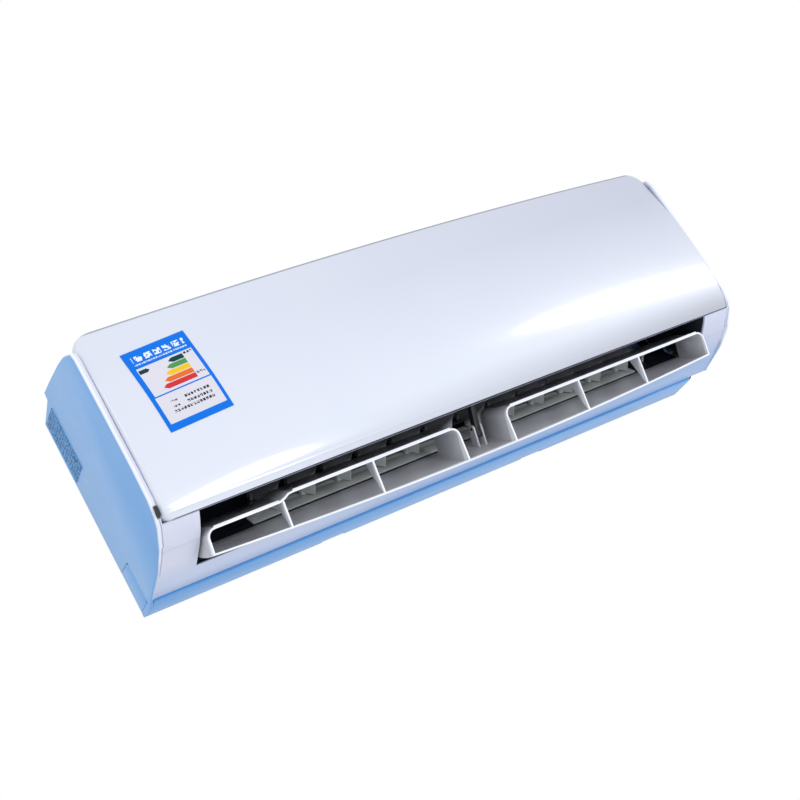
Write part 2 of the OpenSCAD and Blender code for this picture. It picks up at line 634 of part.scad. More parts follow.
module motor_clamp() color([0.74, 0.75, 0.77]) {
    clamp_r = motor_r + 2.05;
    for (x = [motor_x0 + 6, motor_x0 + motor_l - 12]) {
        difference() {
            rod_x(x, x + 6, fan, clamp_r + 1.6);
            rod_x(x - 1, x + 7, fan, clamp_r);
        }
        for (s = [-1, 1]) block([x, fan[0] + sqrt(clamp_r * clamp_r - 225) + 0.3, fan[1] + s * 17 - 2],
            [x + 6, -7.6, fan[1] + s * 17 + 2]);
    }
    difference() {
        block([motor_x0 + 4, -7.6, fan[1] - 32], [motor_x0 + motor_l - 4, -4.8, fan[1] + 32]);
        for (z = [-26, 26]) translate([motor_x0 + motor_l / 2, 0, fan[1] + z]) rotate([90, 0, 0])
            cylinder(h = 20, r = 2.1);
    }
}
module clamp_screws() color([0.6, 0.61, 0.63]) for (z = [-26, 26]) {
    translate([motor_x0 + motor_l / 2, -7.7, fan[1] + z]) rotate([90, 0, 0]) cylinder(h = 2.4, r = 3.6);
    translate([motor_x0 + motor_l / 2, -4.7, fan[1] + z]) rotate([90, 0, 0]) cylinder(h = 3.2, r = 2);
}

// The louver is drawn about its axis, with Y along the blades and Z square to them
module at_louver() {
    translate([0, flap[0], flap[1]]) rotate([flap_slope, 0, 0]) children();
}
half_flap = flap_w / 2;
blade_front = -33;
blade_back = 19.2;
upper_front = -30;
upper_back = 12;
low_drop = 5;        // how much lower the left part of the upper blade is
lip_t = 1.8;         // thickness of the lip along the upper blade's front edge
// Ribs: distance from the left end and drop of the blade there, and distance from the right end
left_ribs = [[82, low_drop], [186, 0]];
right_ribs = [192, 102];
rib_foot = -lower_n - flap_crown - 6;
// A point on the lower blade's upper face, at share t of the way from its front edge to its back edge
function mid_share(x) = 1 - pow(x / half_flap, 2);
function lower_point(x, t) = [x, mix(blade_front - flap_bow * mid_share(x), blade_back, t),
    -lower_n - flap_crown * mid_share(x) * (1 - t) - 3 * 4 * t * (1 - t)];
flap_xs = [for (i = [0:12]) mix(-half_flap, half_flap, i / 12)];
flap_ts = [for (i = [0:6]) i / 6];
// One hoop of the upper blade: x of its two feet, and whether its left part is set lower
module hoop(x0, x1, low) {
    c = 9;
    top = low ? upper_n - low_drop : upper_n;
    path = concat([[x0, rib_foot]], arc([x0 + c, top - c], c, 180, 90, 5),
        low ? [[x0 + 78, top], [x0 + 84, mix(top, upper_n, 0.36)], [x0 + 89, mix(top, upper_n, 0.89)],
            [x0 + 95, upper_n]] : [],
        arc([x1 - c, upper_n - c], c, 90, 0, 5), [[x1, rib_foot]]);
    translate([0, upper_back + 2, 0]) rotate([90, 0, 0]) linear_extrude(70) band(path, -blade);
}
rib_depth = 17;
rib_lean = 26;       // how far a rib's back edge leans forward on its way down
module flap_rib(x, top) {
    along_x(x - blade / 2, x + blade / 2) polygon([[-60, rib_foot],
        [upper_front + rib_depth - rib_lean, rib_foot],
        [upper_front + rib_depth, top - blade / 2], [-60, top - blade / 2]]);
}
// Lip along an upper front edge
module flap_lip(x0, x1, top) {
    block([x0, upper_front, top - blade], [x1, upper_front + lip_t, top + 1.2]);
}
module louver() color([0.94, 0.95, 0.98]) at_louver() {
    difference() {
        union() {
            // lower blade, bowed forward and hanging lower in the middle
            closed_sheet([for (x = flap_xs) for (t = flap_ts) lower_point(x, t)],
                [for (x = flap_xs) for (t = flap_ts) lower_point(x, t) - [0, 0, blade]],
                len(flap_xs), len(flap_ts));
            intersection() {
                union() {
                    hoop(-half_flap, -33, true);
                    hoop(28, half_flap, false);
                    for (r = left_ribs) flap_rib(r[0] - half_flap, upper_n - r[1]);
                    for (r = right_ribs) flap_rib(half_flap - r, upper_n);
                    // two upright ears of the middle support
                    for (x = arm_ears) along_x(x, x + ear_t) polygon([[ear_r, 0], [-ear_r, 0],
                        [-ear_r - 1.5, -40], [ear_r + 5, -40]]);
                }
                // the room between the blades
                closed_sheet([for (x = flap_xs) for (t = flap_ts) [x, mix(upper_front, upper_back, t),
                    upper_n + 2]], [for (x = flap_xs) for (t = flap_ts) lower_point(x, t)
                    - [0, 0, blade / 2]], len(flap_xs), len(flap_ts));
            }
            flap_lip(-half_flap + 9, -half_flap + 78, upper_n - low_drop);
            flap_lip(-half_flap + 95, -42, upper_n);
            flap_lip(37, half_flap - 9, upper_n);
            // round ears at the ends, with the end pins
            both_sides() rod_x(half_flap - 2, half_flap, [0, 0], 5.5);
            both_sides() rod_x(half_flap - 1, half_out + 7, [0, 0], flap_pin_r);
            // round tops of the two ears
            for (x = arm_ears) rod_x(x, x + ear_t, [0, 0], ear_r);
        }
        rod_x(arm_x - 7, arm_x + 7, [0, 0], 1.6 + run);
    }
}
arm_x = 9;
ear_t = 1.8;
ear_r = 4.2;
arm_ears = [arm_x - 5.6, arm_x + 3.8];
module louver_bush() color([0.12, 0.12, 0.13]) difference() {
    union() {
        rod_x(-half_out - 4.5, -half_out + 0.6, flap, 6);
        rod_x(-half_out - 0.05, -half_out + 1.3, flap, 7.6);
    }
    rod_x(-half_out - 8, -half_out + 3, flap, flap_pin_r + run);
}
module louver_arm() color([0.05, 0.05, 0.06]) {
    along_x(arm_x - 2.8, arm_x + 2.8) {
        translate(flap) circle(r = 3.8);
        // round tail that hangs down between the ears
        hull() {
            translate(flap) circle(r = 3);
            translate(flap + [1.2, -7.6]) circle(r = 2.4);
        }
        polygon([flap + [-3.4, -1.4], flap + [3, 2.2], [-89.5, 48], [-97.5, 62], [-101.3, 76], [-101.3,
            62], [-96.8, 47.5]]);
    }
    rod_x(arm_x - 6, arm_x + 6, flap, 1.6);
}
module louver_motor() color([0.85, 0.86, 0.87]) difference() {
    union() {
        rod_x(half_out + wall + 0.5, half_out + 15, flap, 10);
        along_x(half_out + wall + 0.5, half_out + wall + 2) polygon([flap + [-17, -3], flap + [17, -3],
            flap + [17, 3], flap + [-17, 3]]);
    }
    rod_x(half_out, half_out + 9, flap, flap_pin_r + run);
}

// Vanes stand on the air floor. Each is drawn about its pivot, with Z along the pivot and Y up the duct
vane_foot = floor_start + 20 * [cos(vane_tilt), sin(vane_tilt)] + seat * [-sin(vane_tilt), cos(vane_tilt)];
vane_shift = 9;      // how far right of the middle the row of vanes stands
function vane_x(i) = (i - (vane_count - 1) / 2) * vane_pitch + vane_shift;
module at_vane(i) {
    translate([vane_x(i), vane_foot[0], vane_foot[1]]) rotate([vane_tilt, 0, 0]) children();
}
vane_outline = [[-14, 1.5], [-15, 25], [-17, 31], [-20, 36], [-19, 45], [0, 46], [10, 37], [19, 28],
    [19, 8], [7, 8], [7, 1.5]];
module vane(i) color([0.6, 0.62, 0.6]) at_vane(i) rotate([0, 0, vane_turn]) {
    translate([-vane_t / 2, 0, 0]) rotate([90, 0, 90]) linear_extrude(vane_t) polygon(vane_outline);
    translate([0, 0, -5]) cylinder(h = 8, r = vane_pin_r);
    translate([0, 0, 0.3]) cylinder(h = 1.6, r = vane_pin_r + 1.6);
    translate([0, link_arm, 2.5]) cylinder(h = 11, r = link_pin_r);
    translate([0, link_arm, 7]) cylinder(h = 6, r = link_pin_r + 0.7);
}
module vane_base() color([0.5, 0.52, 0.53]) difference() {
    translate([0, vane_foot[0], vane_foot[1]]) rotate([vane_tilt, 0, 0])
        block([vane_x(0) - 24, -16.5, -seat + 0.02], [vane_x(vane_count - 1) + 15, 8, 0]);
    for (i = [0:vane_count - 1]) at_vane(i) translate([0, 0, -5]) cylinder(h = 9, r = vane_pin_r + run);
}
module vane_tie_rod() color([0.3, 0.31, 0.32]) {
    link = link_arm * [-sin(vane_turn), cos(vane_turn)];
    difference() {
        translate([0, vane_foot[0], vane_foot[1]]) rotate([vane_tilt, 0, 0]) translate([link[0],
            link[1], 0])
            block([vane_x(0) - 4, -3.4, 4], [vane_x(vane_count) + 4, 3.4, 6]);
        for (i = [0:vane_count]) at_vane(i) translate([link[0], link[1], 0]) cylinder(h = 9,
            r = link_pin_r + run);
    }
}
module vane_crank() color([0.85, 0.86, 0.87]) at_vane(vane_count) rotate([0, 0, vane_turn]) {
    translate([0, 0, -10]) cylinder(h = 20, r = 2);
    translate([0, 0, 7]) cylinder(h = 3.5, r = 4);
    block([-2.4, 0, 7.5], [2.4, link_arm, 10.5]);
    translate([0, link_arm, 2.5]) cylinder(h = 8, r = link_pin_r);
    translate([0, link_arm, 7.5]) cylinder(h = 3, r = 2.4);
}
module vane_motor() color([0.85, 0.86, 0.87]) at_vane(vane_count) difference() {
    union() {
        translate([0, 0, -22]) cylinder(h = 17.5, r = 12);
        translate([-17, -3, -6]) cube([34, 6, 1.5]);
    }
    translate([0, 0, -12]) cylinder(h = 9, r = 2 + run);
}

box_x0 = coil_x1 + 20;
box_z0 = 98;
box_low = [box_x0, -121.8, box_z0];
box_high = [box_x0 + box_w, -92, box_z0 + box_h];
module control_box() color([0.92, 0.92, 0.9]) {
    difference() {
        block(box_low, box_high);
        block(box_low + [2, -1, 2], box_high - [2, 2, 2]);
    }
    // lugs that seat against the right side wall
    for (z = [6, box_h - 14]) block([box_high[0] - 1, -104, box_z0 + z], [half_w - wall - gap, -94,
        box_z0 + z + 8]);
}
module control_cover() color([0.9, 0.9, 0.88]) difference() {
    block([box_low[0], box_low[1] - 2.2, box_low[2]], [box_high[0], box_low[1] - 0.1, box_high[2]]);
    rod_y(box_low[1] - 4, box_low[1] + 1, button_at, button_r + 0.15);
    for (z = [12:6:42]) block([box_low[0] + 8, box_low[1] - 4, box_z0 + z], [box_high[0] - 8,
        box_low[1] + 1, box_z0 + z + 2.5]);
}
button_at = [box_x0 + box_w / 2, box_z0 + box_h - 16];
module rod_y(y0, y1, at, r) {
    translate([at[0], y1, at[1]]) rotate([90, 0, 0]) cylinder(h = y1 - y0, r = r);
}
module control_board() color([0.1, 0.4, 0.22]) {
    block([box_low[0] + 4, -102, box_low[2] + 4], [box_high[0] - 4, -100.4, box_high[2] - 4]);
    for (x = [8, box_w - 12]) for (z = [8, box_h - 14])
        block([box_x0 + x, -100.5, box_z0 + z], [box_x0 + x + 4, -94.02, box_z0 + z + 4]);
    block([box_low[0] + 6, -113, box_low[2] + 48], [box_low[0] + 22, -101.9, box_low[2] + 64]);
    rod_y(-116, -101.9, [box_low[0] + 46, box_low[2] + 52], 5);
    block([box_low[0] + 34, -108, box_low[2] + 34], [box_low[0] + 50, -101.9, box_low[2] + 44]);
    // tower that carries the button's switch
    block([button_at[0] - 3, -118.2, button_at[1] - 3], [button_at[0] + 3, -101.9, button_at[1] + 3]);
}
module terminal_block() color([0.15, 0.15, 0.16]) difference() {
    block([box_low[0] + 8, -115, box_low[2] + 8], [box_high[0] - 8, -102.1, box_low[2] + 24]);
    for (k = [0:4]) block([box_low[0] + 10 + k * 8, -116, box_low[2] + 11], [box_low[0] + 15.4 + k * 8,
        -108, box_low[2] + 21]);
}
// The air sensor is clipped to the front face of the front pack
sensor_z = 120;
sensor_r = 1.9;
pack_run = front_pack[1] - front_pack[0];
sensor_y = front_pack[0][0] + (sensor_z - front_pack[0][1])
    * pack_run[0] / pack_run[1] - coil_t / 2 * norm(pack_run) / pack_run[1] - gap;
module air_sensor() color([0.78, 0.46, 0.3]) {
    rod_x(coil_x1 - 48, coil_x1 - 28, [sensor_y - 3.65, sensor_z], sensor_r);
    block([coil_x1 - 42, sensor_y - 3.65, sensor_z - 1.4], [coil_x1 - 36, sensor_y, sensor_z + 1.4]);
}
module emergency_button() color([0.95, 0.95, 0.95]) {
    rod_y(box_low[1] - 3.4, box_low[1] + 1.8, button_at, button_r);
    rod_y(box_low[1] + 0.4, box_low[1] + 1.6, button_at, button_r + 1.2);
}

hang() front_frame();
hang() intake_grille();
hang() rear_chassis();
hang() knockout_cover();
hang() wall_plate();
hang() front_panel();
hang() panel_hinge_arms();
hang() panel_catch();
hang() panel_label();
hang() rating_plate();
hang() air_filter(filter_bars[0] + 0.5,  // air_filter_left
    filter_bars[1] - 0.8);
hang() air_filter(filter_bars[1] + 0.8,  // air_filter_right
    filter_bars[2] - 0.5);
hang() coil_fins_front();
hang() coil_fins_rear();
hang() tube_sheets();
hang() coil_tubes();
hang() return_bends();
hang() supply_pipe();
hang() return_pipe();
hang() pipe_nuts();
hang() outlet_duct();
hang() drain_hose();
hang() fan_rotor();
hang() fan_shaft();
hang() fan_bearing();
hang() bearing_seat();
hang() fan_motor();
hang() motor_rings();
hang() motor_clamp();
hang() clamp_screws();
hang() louver();
hang() louver_bush();
hang() louver_arm();
hang() louver_motor();
hang() vane_base();
hang() vane_tie_rod();
hang() vane_crank();
hang() vane_motor();
hang() control_box();
hang() control_cover();
hang() control_board();
hang() terminal_block();
hang() air_sensor();
hang() emergency_button();
for (i = [0:vane_count - 1]) hang() vane(i);
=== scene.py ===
# %% [markdown]
# A wall-mounted fan coil unit, seen from its left, from a little below.
# The solid model comes first: it is loaded as a fixed frame, and every piece that is
# made here goes where that frame already has its solid. So nothing is fitted by eye,
# and the piece that stands in for a solid also moves with its joint.

# %% Load the frame
import json
import math

import bmesh
import bpy
from mathutils import Matrix, Vector

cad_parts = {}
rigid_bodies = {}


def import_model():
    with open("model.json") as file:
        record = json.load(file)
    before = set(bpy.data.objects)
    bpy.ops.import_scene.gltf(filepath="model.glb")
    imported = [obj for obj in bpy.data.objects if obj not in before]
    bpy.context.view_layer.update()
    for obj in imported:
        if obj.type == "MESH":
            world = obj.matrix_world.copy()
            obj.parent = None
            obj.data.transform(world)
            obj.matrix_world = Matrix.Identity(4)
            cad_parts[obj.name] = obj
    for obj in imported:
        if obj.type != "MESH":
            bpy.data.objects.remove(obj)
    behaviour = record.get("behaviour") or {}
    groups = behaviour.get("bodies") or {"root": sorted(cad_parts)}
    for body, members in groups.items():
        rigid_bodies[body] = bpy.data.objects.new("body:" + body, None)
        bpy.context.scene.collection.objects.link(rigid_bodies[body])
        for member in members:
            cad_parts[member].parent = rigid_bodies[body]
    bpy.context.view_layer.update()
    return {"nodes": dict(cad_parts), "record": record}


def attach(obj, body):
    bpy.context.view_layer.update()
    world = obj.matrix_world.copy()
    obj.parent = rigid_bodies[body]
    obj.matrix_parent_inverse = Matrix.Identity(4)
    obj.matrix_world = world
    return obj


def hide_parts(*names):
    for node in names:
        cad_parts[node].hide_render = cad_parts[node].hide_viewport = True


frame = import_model()

# %% [markdown]
# Lengths. A maker measures this unit in millimetres above its underside, while Blender
# counts in metres from the frame's origin, the middle of the wall plate's screws. One
# helper takes the step between the two, so all the cells below keep to the maker's way.

# %% Millimetres above the underside
MM = 0.001
MM_PER_METRE = 1000.0
HANG = 125.0  # the frame's origin is this far above the underside
HALF_W = 370.0
BODY_H = 233.0


def place(x, depth, height):
    """A point in millimetres above the underside, as a point of the frame in metres."""
    return Vector((x, depth, height - HANG)) * MM


print("top edge at", place(0, 0, BODY_H)[2], "m")

# %% [markdown]
# The camera. Its place was worked out from the outline of the unit in the photograph,
# and it is written as three directions: to the right, up and away from the object.
# Those are the columns of the camera's own matrix, so no angles are needed.

# %% Camera
RIGHT = (0.795258, -0.351247, -0.494156)
UP = (0.293101, -0.490751, 0.820521)
BACK = (-0.530713, -0.797364, -0.287323)
EYE = (-817.587, -1228.024, -328.298)  # millimetres, with its height from the underside
SENSOR_MM = 36.0
PHOTO_PX = 800.0
FOCAL_PX = 1411.96
eye_data = bpy.data.cameras.new("photo_camera")
eye_data.sensor_width = SENSOR_MM
eye_data.lens = SENSOR_MM * FOCAL_PX / PHOTO_PX
eye_data.clip_start, eye_data.clip_end = 0.05, 60.0
eye = bpy.data.objects.new("photo_camera", eye_data)
bpy.context.scene.collection.objects.link(eye)
turn = Matrix((RIGHT, UP, BACK)).transposed().to_4x4()
eye.matrix_world = Matrix.Translation(place(*EYE)) @ turn
bpy.context.scene.camera = eye
print("lens", round(eye_data.lens, 2), "mm, camera at", [round(v, 3) for v in eye.location])

# %% [markdown]
# The sky. The unit hangs on a wall in use, but the photograph shows it alone on white,
# so a white sky stands all round it. The sky does most of the work, as a light tent
# does: it leaves no hard shadow on glossy plastic.


# %% White sky
def soft_sky(colour, strength):
    sky = bpy.data.worlds.new("tent")
    bpy.context.scene.world = sky
    sky.use_nodes = True
    light = sky.node_tree.nodes["Background"]
    light.inputs["Color"].default_value = (*colour, 1.0)
    light.inputs["Strength"].default_value = strength


soft_sky((1.0, 1.0, 1.0), 1.0)
bpy.context.scene.view_settings.view_transform = "Standard"
print("sky:", bpy.context.scene.world.name)

# %% [markdown]
# The lamps. Three soft ones give the faces their difference. Two of them are there to
# be mirrored: an oval one at the front right lies where the panel's lower third shows it
# to the camera, and a low one where the left end of the panel's foot does. Such soft
# bright bands are what tells the eye that the shell is glossy and bends.


# %% Lamps
def lamp(name, shape, spot, target, size, power):
    """A soft white lamp at spot that points at target, both in metres."""
    data = bpy.data.lights.new(name, "AREA")
    data.shape = shape
    data.size, data.size_y = size
    data.energy = power
    made = bpy.data.objects.new(name, data)
    bpy.context.scene.collection.objects.link(made)
    made.location = spot
    aim = Vector(target) - Vector(spot)
    made.rotation_euler = aim.to_track_quat("-Z", "Y").to_euler()
    return made


LAMPS = [
    lamp("key", "RECTANGLE", (-1.3, -1.2, 0.7), (-0.3, -0.1, 0), (1.0, 0.8), 4.0),
    lamp("band", "ELLIPSE", (1.98, -1.75, 0.14), (0.15, -0.14, -0.03), (1.05, 0.36), 9.5),
    lamp("foot", "ELLIPSE", (0.5, -1.8, -0.85), (-0.25, -0.14, -0.08), (0.42, 0.9), 7.0),
]
print("lamps:", [made.name for made in LAMPS])

# %% [markdown]
# The floor is a plain sheet far below the unit. It is made as every shape here is made,
# with an operator on a bmesh, which is then turned into a mesh and given to an object.

# %% Floor
FLOOR_HALF, FLOOR_DROP = 6.0, 1.4  # metres
floor_mesh = bmesh.new()
bmesh.ops.create_grid(floor_mesh, x_segments=8, y_segments=8, size=FLOOR_HALF)
bmesh.ops.translate(floor_mesh, verts=floor_mesh.verts, vec=(0, 0, -FLOOR_DROP))
floor_data = bpy.data.meshes.new("floor")
floor_mesh.to_mesh(floor_data)
floor_mesh.free()
floor = bpy.data.objects.new("floor", floor_data)
bpy.context.scene.collection.objects.link(floor)
print("floor", FLOOR_DROP, "m below the unit's origin")

# %% [markdown]
# Shader maths. A pattern such as a printed sticker is a long sum of masks, and in
# Blender each step of that sum is a node. Wiring them by hand hides the sum, so a
# small class wraps one output of a node: adding or comparing two of these adds the
# Math node for it. Everything else goes through one method, node().


# %% The Wire class
class Wire:
    """One output socket of a shader node. Plain maths on it adds Math nodes."""

    def __init__(self, tree, out):
        self.tree = tree
        self.out = out

    def node(self, kind, settings=None, sockets=None, give=0):
        """Add a node: its settings first, then values or wires for its sockets."""
        made = self.tree.nodes.new(kind)
        for name, value in (settings or {}).items():
            setattr(made, name, value)
        for name, value in (sockets or {}).items():
            if isinstance(value, Wire):
                self.tree.links.new(value.out, made.inputs[name])
            else:
                made.inputs[name].default_value = value
        return Wire(self.tree, made.outputs[give])

    def math(self, operation, *others):
        values = {0: self, **{k + 1: v for k, v in enumerate(others)}}
        return self.node("ShaderNodeMath", {"operation": operation}, values)

    def __add__(self, other):
        return self.math("ADD", other)

    __radd__ = __add__

    def __mul__(self, other):
        return self.math("MULTIPLY", other)

    __rmul__ = __mul__

    def __sub__(self, other):
        return self.math("SUBTRACT", other)

    def __rsub__(self, other):
        return self.math("MULTIPLY", -1.0) + other

    def __truediv__(self, other):
        return self.math("DIVIDE", other)

    def __gt__(self, other):
        return self.math("GREATER_THAN", other)

    def __lt__(self, other):
        return self.math("LESS_THAN", other)

    def __abs__(self):
        return self.math("ABSOLUTE")

    def repeat(self, pitch):
        """From 0 to 1 over each pitch, again and again."""
        return (self / pitch).math("FRACT")

    def rise(self, low, high):
        """0 at low, 1 at high, a straight ramp between them and level beyond."""
        return ((self - low) / (high - low)).clamp()

    def clamp(self):
        return self.math("MAXIMUM", 0.0).math("MINIMUM", 1.0)


def band(value, low, high):
    """1 where a wire lies between low and high, and 0 elsewhere."""
    return (value > low) * (value < high)


print("the Wire class adds nodes for + - * / < > and abs")

# %% [markdown]
# A finish is what a maker calls the look of a surface: its colour, its gloss and its
# grain. Each one is a Blender material, and most of its nodes start from the same place,
# the piece's own coordinates. The Finish class below sets those up once, in millimetres,
# and has a method for each habit that a real surface has: clouds, grain, uneven gloss.


# %% The Finish class
class Finish:
    """A material in the making: its shader, and the place on the piece in millimetres."""

    def __init__(self, name, **constants):
        self.made = bpy.data.materials.new(name)
        self.made.use_nodes = True
        self.tree = self.made.node_tree
        self.shader = self.tree.nodes["Principled BSDF"]
        for socket, value in constants.items():
            self.shader.inputs[socket.replace("_", " ")].default_value = value
        start = Wire(self.tree, None)
        self.here = start.node("ShaderNodeTexCoord", give="Object")
        split = start.node("ShaderNodeSeparateXYZ", None, {0: self.here})
        outs = split.out.node.outputs
        self.x, self.y, self.z = (Wire(self.tree, outs[k]) * MM_PER_METRE for k in range(3))

    def height(self):
        """Millimetres above the underside."""
        return self.z + HANG

    def depth(self):
        """Millimetres out from the wall."""
        return self.y * -1.0

    def noise(self, size, detail=2.0):
        """Soft random clouds, about size millimetres across, from 0 to 1."""
        sockets = {"Vector": self.here, "Scale": MM_PER_METRE / size, "Detail": detail}
        return self.here.node("ShaderNodeTexNoise", None, sockets)

    def blend(self, share, low, high):
        """Mix two colours, each a wire or three numbers."""
        pair = [c if isinstance(c, Wire) else (*c, 1.0) for c in (low, high)]
        settings = {"data_type": "RGBA"}
        return share.node("ShaderNodeMix", settings, {0: share, 6: pair[0], 7: pair[1]}, 2)

    def feed(self, socket, wire):
        self.tree.links.new(wire.out, self.shader.inputs[socket])

    def bump(self, height, depth):
        """Bumps that are depth millimetres deep, from a height between 0 and 1."""
        sockets = {"Height": height, "Distance": depth * MM, "Strength": 1.0}
        self.feed("Normal", height.node("ShaderNodeBump", None, sockets))

    def grain(self, size, depth):
        """A fine random grain, both of its values in millimetres."""
        self.bump(self.noise(size), depth)

    def gloss(self, cloud, detail, rough, spread):
        """A roughness from rough to rough + spread, in clouds of a size in millimetres."""
        self.feed("Roughness", self.noise(cloud, detail) * spread + rough)


FINISH = {}
print("a finish starts with a noise, a blend, a grain and a gloss")

# %% [markdown]
# Moulded plastic is most of this object. A real moulding is never one flat colour: it
# is a little cloudy, the tool leaves a fine grain, and the gloss varies where it was
# handled. One function makes them all, with the colour, the gloss and the grain as
# its values, so the plain plastics here stay one family.

# %% Moulded plastics
CLOUD_SIZE, HANDLED_SIZE = 42.0, 18.0  # millimetres
UNEVEN = 0.12  # the spread of the gloss


def moulded(name, colour, rough, grain=0.4, grain_depth=0.02, cloud=0.05):
    """A plastic of one colour with clouds, a fine grain and uneven gloss."""
    finish = Finish(name)
    tint = finish.noise(CLOUD_SIZE, detail=3.0)
    dark = tuple(c * (1.0 - cloud) for c in colour)
    light = tuple(min(c * (1.0 + cloud), 1.0) for c in colour)
    finish.feed("Base Color", finish.blend(tint, dark, light))
    finish.gloss(HANDLED_SIZE, detail=4.0, rough=rough - UNEVEN / 2, spread=UNEVEN)
    finish.grain(grain, grain_depth)
    return finish


# Near black: painted shade for the air path and for the duct.
AIR_PATH_BLACK = (0.012, 0.014, 0.022)
# Each has its material's name, colour, roughness, and the size and depth of its grain.
FINISH.update({
    "black_plastic": moulded("matt_black_plastic", (0.012, 0.012, 0.016), 0.5),
    "rubber": moulded("soft_black_rubber", (0.02, 0.02, 0.021), 0.75, 0.8, 0.05),
    "link_grey": moulded("dark_grey_plastic", (0.03, 0.03, 0.034), 0.5),
    "small_motor": moulded("pale_grey_plastic", (0.48, 0.5, 0.52), 0.42),
    "box_white": moulded("box_white_plastic", (0.66, 0.66, 0.62), 0.46),
    # The duct is painted near black as painted shade, like the air path.
    "duct": moulded("duct_foam_plastic", AIR_PATH_BLACK, 0.62, 1.6, 0.12),
    "rotor": moulded("rotor_plastic", (0.02, 0.022, 0.026), 0.42, 0.7, 0.05),
    "grille": moulded("grille_white", (0.7, 0.74, 0.82), 0.4),
    "hose": moulded("drain_hose_plastic", (0.6, 0.62, 0.66), 0.5),
})
print("plastics:", len(FINISH))

# %% [markdown]
# The casing is satin plastic, but the photograph shows its sides and its underside in
# a clear pale blue, while the narrow front band round the outlet is nearly white. That
# blue is painted light: the sides and the underside are the same moulding as the front
# band, painted with the blue light that they catch, and the front band is painted whiter
# towards its left end as painted light too. The change is soft, so it is a slow mix over
# the depth of the casing and not a line. A thin painted highlight runs along the outer
# front edges, and a fine seam runs up from the chin.
# Behind the outlet the same moulding is in the dark, so there it is painted almost
# black and the air path reads as a hole.

# %% Casing colours and places
# Painted light: the blues are the tinted light on the underside and the sides, not the
# plastic's own colour.
UNDERSIDE_BLUE_LIGHT = [(0.1, 0.32, 0.69), (0.12, 0.35, 0.73)]
SIDE_BLUE_LIGHT = [(0.125, 0.33, 0.665), (0.145, 0.36, 0.7)]
FRONT_WHITES = [(0.6, 0.63, 0.77), (0.64, 0.66, 0.8)]
LIP_HIGHLIGHT = (0.74, 0.78, 0.88)
SEAM_GREY = (0.22, 0.25, 0.34)
UNDERSIDE_HEIGHTS = (3.0, 14.0)  # here the underside's blue turns into the sides'
FRONT_STARTS = 37.0  # the pale front begins this far from the wall
FRONT_DEPTHS = (60.0, 104.0)  # and grows whiter between these
# The whitening towards the left end is painted light.
LEFT_END = (40.0, -220.0)  # from here to here, leftwards, it grows whiter too
# The lip's painted highlight lies between these two widths.
LIP_FROM, LIP_TO = 366.2, 369.9  # the lip's light, in millimetres from the middle
LIP_DEPTHS = (84.0, 96.0)
SEAM_FROM, SEAM_TO = 364.9, 365.9
SEAM_HEIGHTS = (8.0, 42.0)
SEAM_DEPTH = 70.0
CHIN_HIGH, CHIN_BEND, CHIN_SLOPE = 9.0, 64.0, 0.29  # the chin is level, then it rises
AIR_PATH_TOP, AIR_PATH_HALF = 205.0, 368.9
AIR_PATH_DEPTHS = (5.0, 101.0)
print("air path:", 2 * AIR_PATH_HALF, "mm wide, up to", AIR_PATH_TOP, "mm high")


# %% Casing
def front_light_share(finish, deep, width):
    """How white the skin is: on the front band, and more so towards the left end, where the
    whitening is painted light.
    """
    left = finish.x.rise(*LEFT_END)
    share = (deep.rise(*FRONT_DEPTHS) * 0.5 + left * 0.35 + 0.42).clamp()
    return share * (deep - FRONT_STARTS).rise(0.0, 1.0) * (HALF_W - width).rise(0.2, 1.4)


def lip_highlight(deep, width):
    """The painted highlight along the outer front edges of both side walls."""
    inner = (width - LIP_FROM).rise(0.0, 0.6)
    return inner * (LIP_TO - width).rise(0.0, 1.2) * deep.rise(*LIP_DEPTHS)


def air_path(deep, width, height):
    """1 inside the casing, above the line of the chin."""
    chin = (deep - CHIN_BEND).math("MAXIMUM", 0.0) * CHIN_SLOPE + CHIN_HIGH
    inside = (height - chin).rise(0.8, 1.6) * (height < AIR_PATH_TOP)
    return inside * (width < AIR_PATH_HALF) * band(deep, *AIR_PATH_DEPTHS)


def casing_finish():
    finish = Finish("casing_satin_plastic", Coat_Weight=0.1)
    deep, height, width = finish.depth(), finish.height(), abs(finish.x)
    tint = finish.noise(60.0, detail=3.0)
    # Painted blue light on the underside and the sides; the front band keeps the plastic's
    # white.
    underside = finish.blend(tint, *UNDERSIDE_BLUE_LIGHT)
    side = finish.blend(tint, *SIDE_BLUE_LIGHT)
    skin = finish.blend(height.rise(*UNDERSIDE_HEIGHTS), underside, side)
    pale = finish.blend(tint, *FRONT_WHITES)
    skin = finish.blend(front_light_share(finish, deep, width), skin, pale)
    # A painted highlight along the lips of the side walls.
    skin = finish.blend(lip_highlight(deep, width), skin, LIP_HIGHLIGHT)
    seam = band(width, SEAM_FROM, SEAM_TO) * band(height, *SEAM_HEIGHTS)
    seam = seam * (deep > SEAM_DEPTH)
    skin = finish.blend(seam * 0.75, skin, SEAM_GREY)
    hollow = air_path(deep, width, height)
    finish.feed("Base Color", finish.blend(hollow, skin, AIR_PATH_BLACK))
    finish.gloss(22.0, detail=4.0, rough=0.3, spread=UNEVEN)
    finish.grain(0.5, depth=0.02)
    return finish


FINISH["casing"] = casing_finish()
print("casing nodes:", len(FINISH["casing"].tree.nodes))

# %% [markdown]
# The front panel is high gloss: a clear coat over a white base, with the very shallow
# waves that a large moulding has. Its shade is painted into its colour: darker towards
# its top and its right end, where it turns away from the light, and along its foot,
# where it curls under. A fine dark line is painted along the top edge. All of these are
# mixes over the height and the width, because the shell itself has no line there to follow.

